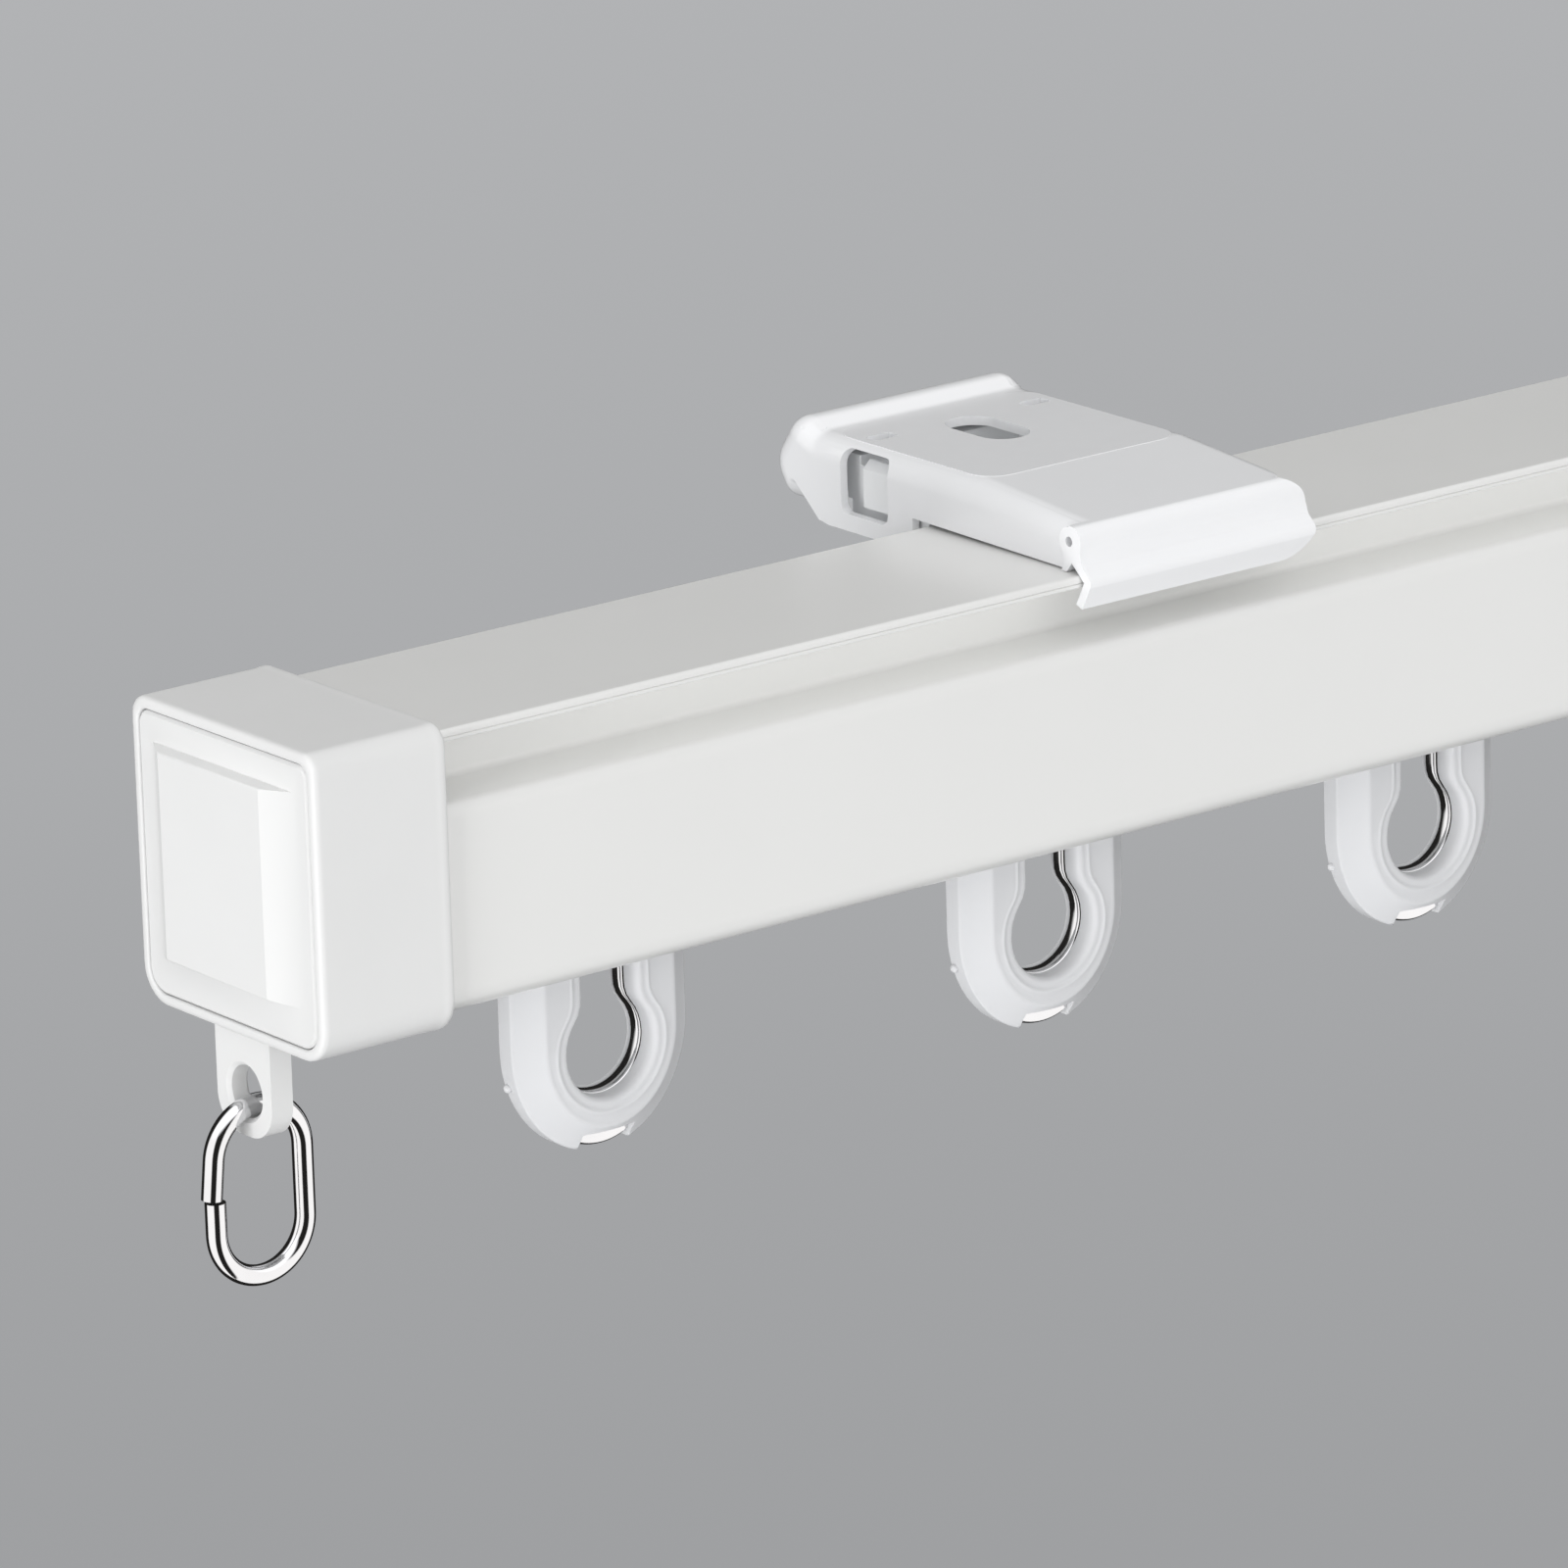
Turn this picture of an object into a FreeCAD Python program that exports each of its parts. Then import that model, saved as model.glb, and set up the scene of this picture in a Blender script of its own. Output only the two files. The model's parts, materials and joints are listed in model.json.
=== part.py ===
import FreeCAD
import Part
import math
import os

# Curtain track: a roll-formed steel rail with an open slot below, a moulded
# sleeve, stop and split ring at each end, two sheet-steel ceiling brackets
# with spring latches, and a row of runners with steel-cored eyes.
#
# Frame, in millimetres: the origin is on the ceiling plane, at the centre of
# the left bracket's screw slot. +X runs along the rail to the right end, +Y
# points to the wall, away from the room, and +Z points up.

Vec = FreeCAD.Vector

# Rail
overall_length = 360.0
rail_depth = 24.5
rail_height = 25.0
rail_sheet = 0.5
lip_setback = 1.0
groove_depth = 7.0
groove_height = 6.25
rail_shoulder_radius = 1.1
rail_foot_radius = 2.2
rail_bend_radius = 0.6
slot_width = 5.0
slot_lip_height = 2.1

# Place of the ceiling plane and the brackets
ceiling_gap = 5.7
screw_setback = 17.85
bracket_from_end = 97.5

# End sleeve, end stop and split ring
sleeve_length = 13.6
sleeve_wall = 1.05
sleeve_fit = 0.1
sleeve_top_radius = 1.8
plate_thickness = 3.0
plate_edge_bevel = 0.25
panel_rise = 1.0
panel_width = 20.4
panel_height = 18.9
panel_slope_width = 3.2
panel_slope_height = 0.35
panel_lift = 0.5
panel_edge_radius = 0.2
plug_length = 9.0
plug_width = 16.0
plug_side_gap = 1.2
lug_thickness = 2.2
lug_width = 8.0
lug_drop = 9.2
lug_corner_radius = 3.2
lug_hole_radius = 2.35
lug_hole_bevel = 0.35
lug_below_hole = 1.5
ring_wire = 1.85
ring_width = 11.05
ring_height = 17.2
ring_split = 0.3
ring_end_flare_deg = 6.0
ring_hang_gap = 0.2
screw_shank_radius = 1.5
screw_head_radius = 2.8
screw_head_height = 1.7
screw_length = 9.0
screw_recess_width = 0.9
screw_recess_depth = 0.9
screw_clear = 0.25

# Bracket
bracket_width = 25.8
bracket_sheet = 0.8
bracket_bend_radius = 2.2
bracket_rear = 34.2
pad_rise = 0.2
pad_side_margin = 1.7
pad_front = 3.75
pad_rear = 26.4
pad_corner_radius = 2.4
screw_slot_width = 5.0
screw_slot_length = 9.4
lance_length = 3.0
lance_width = 1.6
lance_offset = 8.9
lance_setback = 4.2
lance_tab_drop = 1.3
lance_tab_thickness = 0.5
lance_mouth = 0.9
lance_corner_radius = 0.7
window_width = 6.8
window_height = 6.0
window_corner_radius = 1.0
window_lift = 1.6
window_front = 16.35
window_depth = 2.7
flange_front_gap = 0.15
flange_back_gap = 0.45
flange_grip_drop = 2.6
flange_notch_gap = 0.6
flange_grip_rear = 12.2
flange_grip_slope = 1.1
flange_grip_step = 0.25
rim_foot = 27.2
rim_foot_radius = 2.0
rim_crest = 30.35
rim_rise = 1.7
rim_crest_radius = 2.4
rear_bulge_height = 2.0
rear_bulge_radius = 3.2
rear_floor_length = 4.4
rear_floor_tuck = 2.2
rear_floor_radius = 1.8
rear_floor_gap = -1.4
floor_lip_width = 2.3
floor_lip_front = 0.9

# Bracket's front band in side view: behind the rail's front, above the rail's top
band_crease = (0.75, 4.2)
band_face = ((0.97, 2.5), (1.03, 1.9), (0.72, 0.9), (-0.6, -0.4), (0.85, -3.0))
band_back = ((1.65, -2.7), (0.5, -0.55), (2.15, 0.95), (2.9, 0.05), (3.6, 0.05),
             (3.2, 1.0), (3.35, 1.7))
hem_centre = (2.5, 2.85)
hem_radius = 1.35
hem_hole_radius = 0.28
band_corner_radius = 2.9
band_corner_reach = 2.0
band_foot_radius = 3.2
hem_gap = 0.2
band_proud = 0.4
band_crease_radius = 1.3
band_kink_radius = 0.8

# Latch and spring
latch_side_gap = 0.3
latch_fit = 0.1
latch_arm_width = 3.9
latch_arm_height = 5.7
latch_arm_bevel = 0.8
latch_arm_drop = 0.95
latch_relief = 1.2
latch_relief_start = 4.9
latch_relief_height = 1.3
latch_front_bar = 1.8
latch_rear_bar = 2.0
latch_rear_bar_height = 4.3
latch_stop_gap = 0.2
latch_floor_gap = 0.2
latch_block_gap = 0.5
latch_tongue_grip = 2.0
latch_tongue_thickness = 1.2
latch_tongue_width = 18.8
latch_travel = 3.0
latch_peg_radius = 0.75
latch_peg_length = 1.4
spring_radius = 1.15
spring_wire = 0.4
spring_turns = 4.0
spring_end_gap = 1.9

# Runners
runner_places = (38.3, 88.1, 132.8)
runner_pitch = 47.2
runner_thickness = 3.8
eye_flange_thickness = 2.0
eye_flange_half_width = 9.5
eye_flange_step = 0.35
eye_flange_half_depth = 10.7
eye_front_half_width = 7.45
eye_front_half_depth = 7.5
eye_hole_radius = 4.65
eye_hole_drop = 0.9
eye_centre_drop = 9.5
eye_hole_top_width = 5.8
eye_hole_rim = 0.35
eye_hole_flare = 0.9
eye_shoulder_radius = 3.0
core_thickness = 1.5
core_hole_radius = 4.4
core_setback = 0.75
core_neck_width = 5.2
core_half_width = 8.2
core_half_depth = 10.2
core_head_half_width = 5.0
core_cover = 1.2
core_arch_cover = 0.7
core_notch_from_eye = 9.0
core_notch_width = 5.6
boss_end_gap = 0.1
wheel_radius = 4.2
wheel_width = 3.6
wheel_lift = 0.03
wheel_rim_radius = 0.5
wheel_hub_radius = 2.2
wheel_hub_recess = 0.4
axle_radius = 1.1
axle_fit = 0.05
axle_overhang = 0.5
spacer_radius = 2.3
lip_side_gap = 0.4
head_above_axle = 3.6
head_half_width = 7.6
head_corner_radius = 3.0
shoulder_above_lip = 0.6
eye_hole_top_gap = 3.2

# Values that follow from the sizes above
rail_mid = -screw_setback
rail_front = rail_mid - rail_depth / 2
rail_back = rail_mid + rail_depth / 2
rail_top = -ceiling_gap
rail_bottom = rail_top - rail_height
rail_shelf = rail_top - groove_height
lip_thickness = 2 * rail_sheet
left_end = -bracket_from_end
right_end = left_end + overall_length
track_middle = (left_end + right_end) / 2
rail_start = left_end + plate_thickness
rail_end = right_end - plate_thickness
right_bracket = right_end - bracket_from_end
sleeve_gap = sleeve_fit + sleeve_wall
sleeve_bottom = rail_bottom - sleeve_gap
lug_inner = rail_start
lug_outer = rail_start - lug_thickness
lug_bottom = sleeve_bottom - lug_drop
lug_hole_z = lug_bottom + lug_below_hole + lug_hole_radius
ring_axis_z = lug_hole_z - lug_hole_radius + ring_hang_gap + ring_wire / 2
ring_x = (lug_inner + lug_outer) / 2
track_floor = rail_bottom + rail_sheet
slot_lip_top = rail_bottom + slot_lip_height
axle_z = track_floor + wheel_radius + wheel_lift
eye_z = rail_bottom - eye_centre_drop
eye_hole_z = eye_z - eye_hole_drop
eye_top = slot_lip_top + shoulder_above_lip
bracket_half = bracket_width / 2
bracket_inner = bracket_half - bracket_sheet
bracket_back = rail_mid + bracket_rear
bracket_top = -pad_rise
grip_front = rail_back + flange_notch_gap
grip_rear = grip_front + flange_grip_rear
grip_bottom = rail_top - flange_grip_drop
floor_top = rail_top + rear_floor_gap + bracket_sheet
floor_front = bracket_back - rear_floor_tuck - rear_floor_length
back_lip = rail_back - lip_setback
lip_bottom = rail_top - lip_thickness
latch_half = bracket_inner - latch_side_gap
latch_floor = grip_bottom + bracket_sheet + latch_fit


def box(x0, x1, y0, y1, z0, z1):
    """A box between three pairs of coordinates."""
    return Part.makeBox(x1 - x0, y1 - y0, z1 - z0, Vec(x0, y0, z0))


def prism_x(points, x0, x1):
    """A closed outline of (y, z) points, drawn out along X."""
    corners = [Vec(x0, y, z) for y, z in points]
    face = Part.Face(Part.makePolygon(corners + corners[:1]))
    return face.extrude(Vec(x1 - x0, 0, 0))


def cylinder(radius, length, start, direction):
    """A round bar from a start point."""
    return Part.makeCylinder(radius, length, start, direction)


def edges_along_x(shape, places):
    """The edges parallel to X that pass through the (y, z) places."""
    found = []
    for edge in shape.Edges:
        ends = [v.Point for v in edge.Vertexes]
        if len(ends) != 2 or (ends[0] - ends[1]).Length < 1e-6:
            continue
        along = abs(ends[0].x - ends[1].x)
        if abs(along - (ends[0] - ends[1]).Length) > 1e-6:
            continue
        for y, z in places:
            if abs(ends[0].y - y) < 1e-4 and abs(ends[0].z - z) < 1e-4:
                found.append(edge)
    return found


def edges_where(shape, test):
    """The edges whose every sampled point passes a test."""
    found = []
    for edge in shape.Edges:
        points = edge.discretize(5)
        if all(test(p) for p in points):
            found.append(edge)
    return found


def mirrored(shape, x_plane):
    """The same piece, mirrored across a plane normal to X."""
    return shape.mirror(Vec(x_plane, 0, 0), Vec(1, 0, 0))


def rail_outline_outer():
    """Half of the rail's outer outline, from the top centre to the slot."""
    wall = rail_depth / 2 - groove_depth
    lip = rail_depth / 2 - lip_setback
    side = rail_depth / 2
    return [(0, rail_top), (lip, rail_top), (lip, lip_bottom), (wall, lip_bottom),
            (wall, rail_shelf), (side, rail_shelf), (side, rail_bottom), (0, rail_bottom)]


def rail_outline_inner():
    """Half of the space inside the rail."""
    wall = rail_depth / 2 - groove_depth - rail_sheet
    side = rail_depth / 2 - rail_sheet
    roof = rail_shelf - rail_sheet
    return [(0, rail_top - rail_sheet), (wall, rail_top - rail_sheet), (wall, roof),
            (side, roof), (side, track_floor), (0, track_floor)]


def both_sides(half):
    """A full outline about the rail's middle plane from one half."""
    right = [(rail_mid + y, z) for y, z in half]
    left = [(rail_mid - y, z) for y, z in reversed(half) if y > 0]
    return right + left


def round_pairs(shape, places, radius):
    """Round the same X-edge on both sides of the rail's middle plane."""
    pairs = [(rail_mid + s * y, z) for y, z in places for s in (1, -1)]
    return shape.makeFillet(radius, edges_along_x(shape, pairs))


def make_rail():
    """Roll-formed steel rail: hemmed top lips, two side grooves, slot below."""
    wall = rail_depth / 2 - groove_depth
    lip = rail_depth / 2 - lip_setback
    side = rail_depth / 2
    half_slot = slot_width / 2
    shell = prism_x(both_sides(rail_outline_outer()), rail_start, rail_end)
    shell = round_pairs(shell, [(side, rail_bottom)], rail_foot_radius)
    shell = round_pairs(shell, [(side, rail_shelf)], rail_shoulder_radius)
    shell = round_pairs(shell, [(lip, rail_top), (lip, lip_bottom)], 0.9 * rail_sheet)
    shell = round_pairs(shell, [(wall, lip_bottom), (wall, rail_shelf)], rail_bend_radius)
    space = prism_x(both_sides(rail_outline_inner()), rail_start, rail_end)
    inner_side = side - rail_sheet
    space = round_pairs(space, [(inner_side, track_floor)], rail_foot_radius - rail_sheet)
    roof = rail_shelf - rail_sheet
    space = round_pairs(space, [(inner_side, roof)], rail_shoulder_radius - rail_sheet)
    rail = shell.cut(space)
    slot = box(rail_start, rail_end, rail_mid - half_slot, rail_mid + half_slot,
               rail_bottom - rail_sheet, track_floor + rail_sheet)
    rail = rail.cut(slot)
    for side_sign in (1, -1):
        inner = rail_mid + side_sign * half_slot
        outer = inner + side_sign * rail_sheet
        lip_wall = box(rail_start, rail_end, min(inner, outer), max(inner, outer),
                       rail_bottom, slot_lip_top)
        edge = edges_along_x(lip_wall, [(inner, rail_bottom)])
        lip_wall = lip_wall.makeFillet(0.8 * rail_sheet, edge)
        corner = box(rail_start, rail_end, min(inner, outer), max(inner, outer),
                     rail_bottom, track_floor)
        rail = rail.cut(corner).fuse(lip_wall)
    return rail.removeSplitter()


def sleeve_block(gap, x0, x1, top_radius):
    """The rail's outer box grown by a gap, with the sleeve's corner roundings."""
    y0 = rail_front - gap
    y1 = rail_back + gap
    z0 = rail_bottom - gap
    z1 = rail_top + gap
    block = box(x0, x1, y0, y1, z0, z1)
    foot = edges_along_x(block, [(y0, z0), (y1, z0)])
    block = block.makeFillet(rail_foot_radius + gap, foot)
    crown = edges_along_x(block, [(y0, z1), (y1, z1)])
    return block.makeFillet(top_radius, crown)


def lug_window(gap):
    """The place where the lug passes through the sleeve's floor."""
    return box(lug_outer - gap, lug_inner + gap, rail_mid - lug_width / 2 - gap,
               rail_mid + lug_width / 2 + gap, sleeve_bottom - sleeve_wall, rail_bottom)


def cap_screw_x():
    """The screw's place along the rail, in the middle of the stop's plug."""
    return rail_start + plug_length / 2


def make_sleeve():
    """Moulded sleeve over the rail's end."""
    x1 = left_end + sleeve_length
    sleeve = sleeve_block(sleeve_gap, left_end, x1, sleeve_top_radius)
    rims = edges_where(sleeve, lambda p: abs(p.x - left_end) < 1e-4 or abs(p.x - x1) < 1e-4)
    sleeve = sleeve.makeFillet(0.25 * sleeve_wall, rims)
    hollow = sleeve_block(sleeve_fit, left_end - sleeve_wall, x1 + sleeve_wall,
                          sleeve_top_radius - sleeve_wall / 2)
    sleeve = sleeve.cut(hollow)
    sleeve = sleeve.cut(lug_window(sleeve_fit))
    hole = cylinder(screw_shank_radius + screw_clear, 3 * sleeve_gap,
                    Vec(cap_screw_x(), rail_mid, sleeve_bottom - sleeve_gap), Vec(0, 0, 1))
    return sleeve.cut(hole)


def make_panel():
    """Raised panel on the end plate, with wide slopes at its two sides."""
    centre_z = (rail_top + rail_bottom) / 2 + panel_lift
    half_w = panel_width / 2
    half_h = panel_height / 2
    face_w = half_w - panel_slope_width
    face_h = half_h - panel_slope_height
    wires = []
    for x, w, h in ((left_end + plate_thickness / 2, half_w, half_h),
                    (left_end, half_w, half_h),
                    (left_end - panel_rise, face_w, face_h)):
        corners = [Vec(x, rail_mid + sy * w, centre_z + sz * h)
                   for sy, sz in ((-1, -1), (1, -1), (1, 1), (-1, 1))]
        wires.append(Part.makePolygon(corners + corners[:1]))
    root = Part.makeLoft(wires[:2], True, True)
    slope = Part.makeLoft(wires[1:], True, True)
    top = edges_where(slope, lambda p: abs(p.x - left_end + panel_rise) < 1e-4)
    return root.fuse(slope.makeFillet(panel_edge_radius, top))


def make_stop():
    """End plate with raised panel, plug inside the rail, and hanging lug."""
    plate = sleeve_block(0, left_end, rail_start, sleeve_top_radius - sleeve_wall / 2)
    rim = edges_where(plate, lambda p: abs(p.x - left_end) < 1e-4)
    plate = plate.makeChamfer(plate_edge_bevel, rim)
    plug_floor = slot_lip_top + plug_side_gap
    plug_roof = rail_shelf - rail_sheet - plug_side_gap
    plug = box(rail_start - plate_thickness / 2, rail_start + plug_length,
               rail_mid - plug_width / 2, rail_mid + plug_width / 2, plug_floor, plug_roof)
    nose = edges_where(plug, lambda p: abs(p.x - rail_start - plug_length) < 1e-4)
    plug = plug.makeChamfer(plug_side_gap, nose)
    lug = box(lug_outer, lug_inner, rail_mid - lug_width / 2, rail_mid + lug_width / 2,
              lug_bottom, rail_bottom + sleeve_wall)
    ends = edges_along_x(lug, [(rail_mid - lug_width / 2, lug_bottom),
                               (rail_mid + lug_width / 2, lug_bottom)])
    lug = lug.makeFillet(lug_corner_radius, ends)
    hole = cylinder(lug_hole_radius, 3 * lug_thickness,
                    Vec(lug_outer - lug_thickness, rail_mid, lug_hole_z), Vec(1, 0, 0))
    lug = lug.cut(hole)
    mouths = edges_where(lug, lambda p: abs(math.hypot(p.y - rail_mid, p.z - lug_hole_z)
                                            - lug_hole_radius) < 1e-4)
    circles = [e for e in mouths if len(e.Vertexes) < 2]
    lug = lug.makeChamfer(lug_hole_bevel, circles)
    stop = plate.fuse(make_panel()).fuse(plug).fuse(lug)
    tip = sleeve_bottom + screw_length
    pilot = cylinder(screw_shank_radius, tip - plug_floor,
                     Vec(cap_screw_x(), rail_mid, plug_floor), Vec(0, 0, 1))
    return stop.cut(pilot).removeSplitter()


def make_cap_screw():
    """Pan-head screw through the sleeve's floor and the slot into the plug."""
    x = cap_screw_x()
    shank = cylinder(screw_shank_radius, screw_length, Vec(x, rail_mid, sleeve_bottom),
                     Vec(0, 0, 1))
    head = cylinder(screw_head_radius, screw_head_height,
                    Vec(x, rail_mid, sleeve_bottom - screw_head_height), Vec(0, 0, 1))
    rim = edges_where(head, lambda p: abs(p.z - sleeve_bottom + screw_head_height) < 1e-4)
    head = head.makeFillet(0.6 * screw_head_height, rim[:1])
    screw = shank.fuse(head)
    reach = 1.3 * screw_head_radius / 2
    floor = sleeve_bottom - screw_head_height
    half = screw_recess_width / 2
    cross = box(x - reach, x + reach, rail_mid - half, rail_mid + half,
                floor - half, floor + screw_recess_depth)
    cross = cross.fuse(box(x - half, x + half, rail_mid - reach, rail_mid + reach,
                           floor - half, floor + screw_recess_depth))
    return screw.cut(cross).removeSplitter()


def make_ring():
    """Oval split ring of round wire, hanging through the lug's hole."""
    radius = (ring_width - ring_wire) / 2
    straight = ring_height - ring_wire - 2 * radius
    high = ring_axis_z - radius
    low = high - straight
    middle = (high + low) / 2
    flare = math.radians(180 - ring_end_flare_deg)

    def at(x, z):
        return Vec(ring_x + x, rail_mid, z)

    arc_end = at(radius * math.cos(flare), high + radius * math.sin(flare))
    run = arc_end.z - (middle + ring_split / 2)
    tip = arc_end + Vec(-run * math.tan(math.radians(ring_end_flare_deg)), 0, -run)
    start = at(-radius, middle - ring_split / 2)
    edges = [Part.LineSegment(start, at(-radius, low)).toShape(),
             Part.Arc(at(-radius, low), at(0, low - radius), at(radius, low)).toShape(),
             Part.LineSegment(at(radius, low), at(radius, high)).toShape(),
             Part.Arc(at(radius, high), at(radius * math.cos(flare / 2),
                                           high + radius * math.sin(flare / 2)),
                      arc_end).toShape(),
             Part.LineSegment(arc_end, tip).toShape()]
    path = Part.Wire(edges)
    section = Part.Wire(Part.makeCircle(ring_wire / 2, start, Vec(0, 0, 1)))
    return path.makePipeShell([section], True, True)


def band_point(place):
    """A point of the front band's side view, in the part's frame."""
    return (rail_front + place[0], rail_top + place[1])


def inset_chain(points, distance):
    """A chain of (y, z) points moved to its right-hand side, with mitred corners."""
    normals = []
    for (y0, z0), (y1, z1) in zip(points, points[1:]):
        length = math.hypot(y1 - y0, z1 - z0)
        normals.append(((z1 - z0) / length, -(y1 - y0) / length))
    moved = []
    for i, (y, z) in enumerate(points):
        n0 = normals[max(i - 1, 0)]
        n1 = normals[min(i, len(normals) - 1)]
        share = distance / (1 + n0[0] * n1[0] + n0[1] * n1[1])
        moved.append((y + share * (n0[0] + n1[0]), z + share * (n0[1] + n1[1])))
    return moved


def hem_top():
    """The point of the sloping top that lies over the hem's centre."""
    y0, z0 = band_point(band_crease)
    y = band_point(hem_centre)[0]
    share = (y - y0) / (rail_mid + pad_front - y0)
    return (y, z0 + share * (bracket_top - z0))


def bracket_chain():
    """Side view of the bracket's folded sheet, from the hem to the floor's end."""
    return [hem_top(), (rail_mid + pad_front, bracket_top),
            (rail_mid + rim_foot, bracket_top), (rail_mid + rim_crest, bracket_top + rim_rise),
            (bracket_back, rail_top + rear_bulge_height),
            (bracket_back - rear_floor_tuck, rail_top + rear_floor_gap),
            (floor_front, rail_top + rear_floor_gap)]


def folded_block(chain, closing, half, bend, inset):
    """A block under the bracket's top, with rounded rim and side bends."""
    block = prism_x(chain + closing, -half, half)
    for place, radius in ((chain[2], rim_foot_radius + inset),
                          (chain[3], rim_crest_radius - inset),
                          (chain[4], rear_bulge_radius - inset),
                          (chain[5], rear_floor_radius - inset)):
        block = block.makeFillet(radius, edges_along_x(block, [place]))
    floor_z = chain[5][1]

    def low_line(y):
        share = (y - chain[0][0]) / (chain[5][0] - chain[0][0])
        return chain[0][1] + share * (floor_z - chain[0][1])

    def on_bend(p):
        on_side = abs(abs(p.x) - half) < 1e-4
        return on_side and p.z > floor_z - 1e-4 and p.z > low_line(p.y) - 1e-3

    return block.makeFillet(bend, edges_where(block, on_bend))


def bracket_shell():
    """Top, rear wall, floor and two flanges, folded from one sheet."""
    chain = bracket_chain()
    foot = band_point(band_back[4])
    edge = [(floor_front - flange_grip_slope, grip_bottom + flange_grip_step),
            (grip_rear, grip_bottom), (grip_front, grip_bottom),
            (grip_front, rail_top + flange_back_gap), (foot[0], rail_top + flange_front_gap),
            band_point(hem_centre)]
    outer = folded_block(chain, edge, bracket_half, bracket_bend_radius, 0)
    inner_chain = inset_chain(chain, bracket_sheet)
    low = grip_bottom - bracket_sheet
    closing = [(floor_front, low), (inner_chain[0][0], low)]
    inner = folded_block(inner_chain, closing, bracket_inner,
                         bracket_bend_radius - bracket_sheet, bracket_sheet)
    shell = outer.cut(inner)
    y, z = band_point(hem_centre)
    for x0 in (-bracket_half - bracket_sheet, bracket_inner):
        around = cylinder(hem_radius + hem_gap, 2 * bracket_sheet, Vec(x0, y, z), Vec(1, 0, 0))
        shell = shell.cut(around)
    return shell


def bracket_band():
    """Front band: hemmed loop, leg on the rail, and hook round the rail's lip."""
    outline = [band_point(p) for p in (band_crease,) + band_face + band_back]
    outline += [band_point(hem_centre), hem_top()]
    left = -bracket_half - band_proud
    width = bracket_width + band_proud
    band = prism_x(outline, left, bracket_half)
    band = band.makeFillet(band_crease_radius, edges_along_x(band, [band_point(band_crease)]))
    kinks = [band_point(band_face[3]), band_point(band_face[2])]
    band = band.makeFillet(band_kink_radius, edges_along_x(band, kinks))
    y, z = band_point(hem_centre)
    band = band.fuse(cylinder(hem_radius, width, Vec(left, y, z), Vec(1, 0, 0)))
    start = Vec(left - bracket_sheet, y, z)
    hole = cylinder(hem_hole_radius, width + 2 * bracket_sheet, start, Vec(1, 0, 0))
    return band.cut(hole)


def band_corner_cut():
    """What the rounded right-hand end of the front band leaves out."""
    reach = 2 * bracket_sheet
    front = rail_front + band_face[3][0] - reach
    back = rail_front + hem_centre[0] + band_corner_reach
    low = rail_top + band_face[4][1]
    high = hem_top()[1]
    sheet = box(-bracket_half, bracket_half, front, back, low, high)
    corner = edges_where(sheet, lambda p: abs(p.x - bracket_half) + abs(p.z - high) < 1e-4)
    sheet = sheet.makeFillet(band_corner_radius, corner)
    foot = edges_where(sheet, lambda p: abs(p.x - bracket_half) + abs(p.z - low) < 1e-4)
    sheet = sheet.makeFillet(band_foot_radius, foot)
    side = box(0, bracket_half + reach, front, back, low - reach, high)
    return side.cut(sheet)


def rounded_plate(half_x, y0, y1, z0, z1, radius):
    """A flat plate with four rounded corners."""
    plate = box(-half_x, half_x, y0, y1, z0, z1)
    corners = edges_where(plate, lambda p: abs(abs(p.x) - half_x) < 1e-4
                          and min(abs(p.y - y0), abs(p.y - y1)) < 1e-4)
    return plate.makeFillet(radius, corners)


def screw_slot():
    """The long hole for the ceiling screw, across the rail."""
    radius = screw_slot_width / 2
    run = screw_slot_length / 2 - radius
    z0 = bracket_top - 2 * bracket_sheet
    deep = 3 * bracket_sheet
    slot = box(-radius, radius, -run, run, z0, z0 + deep)
    for y in (-run, run):
        slot = slot.fuse(cylinder(radius, deep, Vec(0, y, z0), Vec(0, 0, 1)))
    return slot


def bracket_window():
    """The square window through both flanges, over the latch's arms."""
    y0 = rail_mid + window_front
    z0 = grip_bottom + window_lift
    reach = bracket_half + bracket_sheet
    window = box(-reach, reach, y0, y0 + window_width, z0, z0 + window_height)
    middle = bracket_half - window_depth
    y1 = y0 + window_width
    z1 = z0 + window_height
    window = window.makeFillet(window_corner_radius,
                               edges_along_x(window, [(y0, z0), (y0, z1), (y1, z0), (y1, z1)]))
    return window.cut(box(-middle, middle, y0 - reach, y1 + reach, z0 - reach, z1 + reach))


def lance_hole(x0, y0):
    """The hole of one pressed-down tab in the bracket's top."""
    hole = box(x0, x0 + lance_length, y0, y0 + lance_width, bracket_top - 2 * bracket_sheet,
               bracket_sheet)
    upright = edges_where(hole, lambda p: abs(abs(p.x - x0 - lance_length / 2)
                                              - lance_length / 2) < 1e-4
                          and abs(abs(p.y - y0 - lance_width / 2) - lance_width / 2) < 1e-4)
    return hole.makeFillet(lance_corner_radius, upright)


def lance_tab(x0, y0):
    """The pressed-down tab: a ramp that stops the latch's rear bar."""
    under = bracket_top - bracket_sheet
    low = under - lance_tab_drop
    tip = x0 + lance_length - lance_mouth
    corners = [Vec(x0, y0, under + lance_tab_thickness), Vec(x0, y0, under), Vec(tip, y0, low),
               Vec(tip, y0, low + lance_tab_thickness)]
    return Part.Face(Part.makePolygon(corners + corners[:1])).extrude(Vec(0, lance_width, 0))


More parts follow.
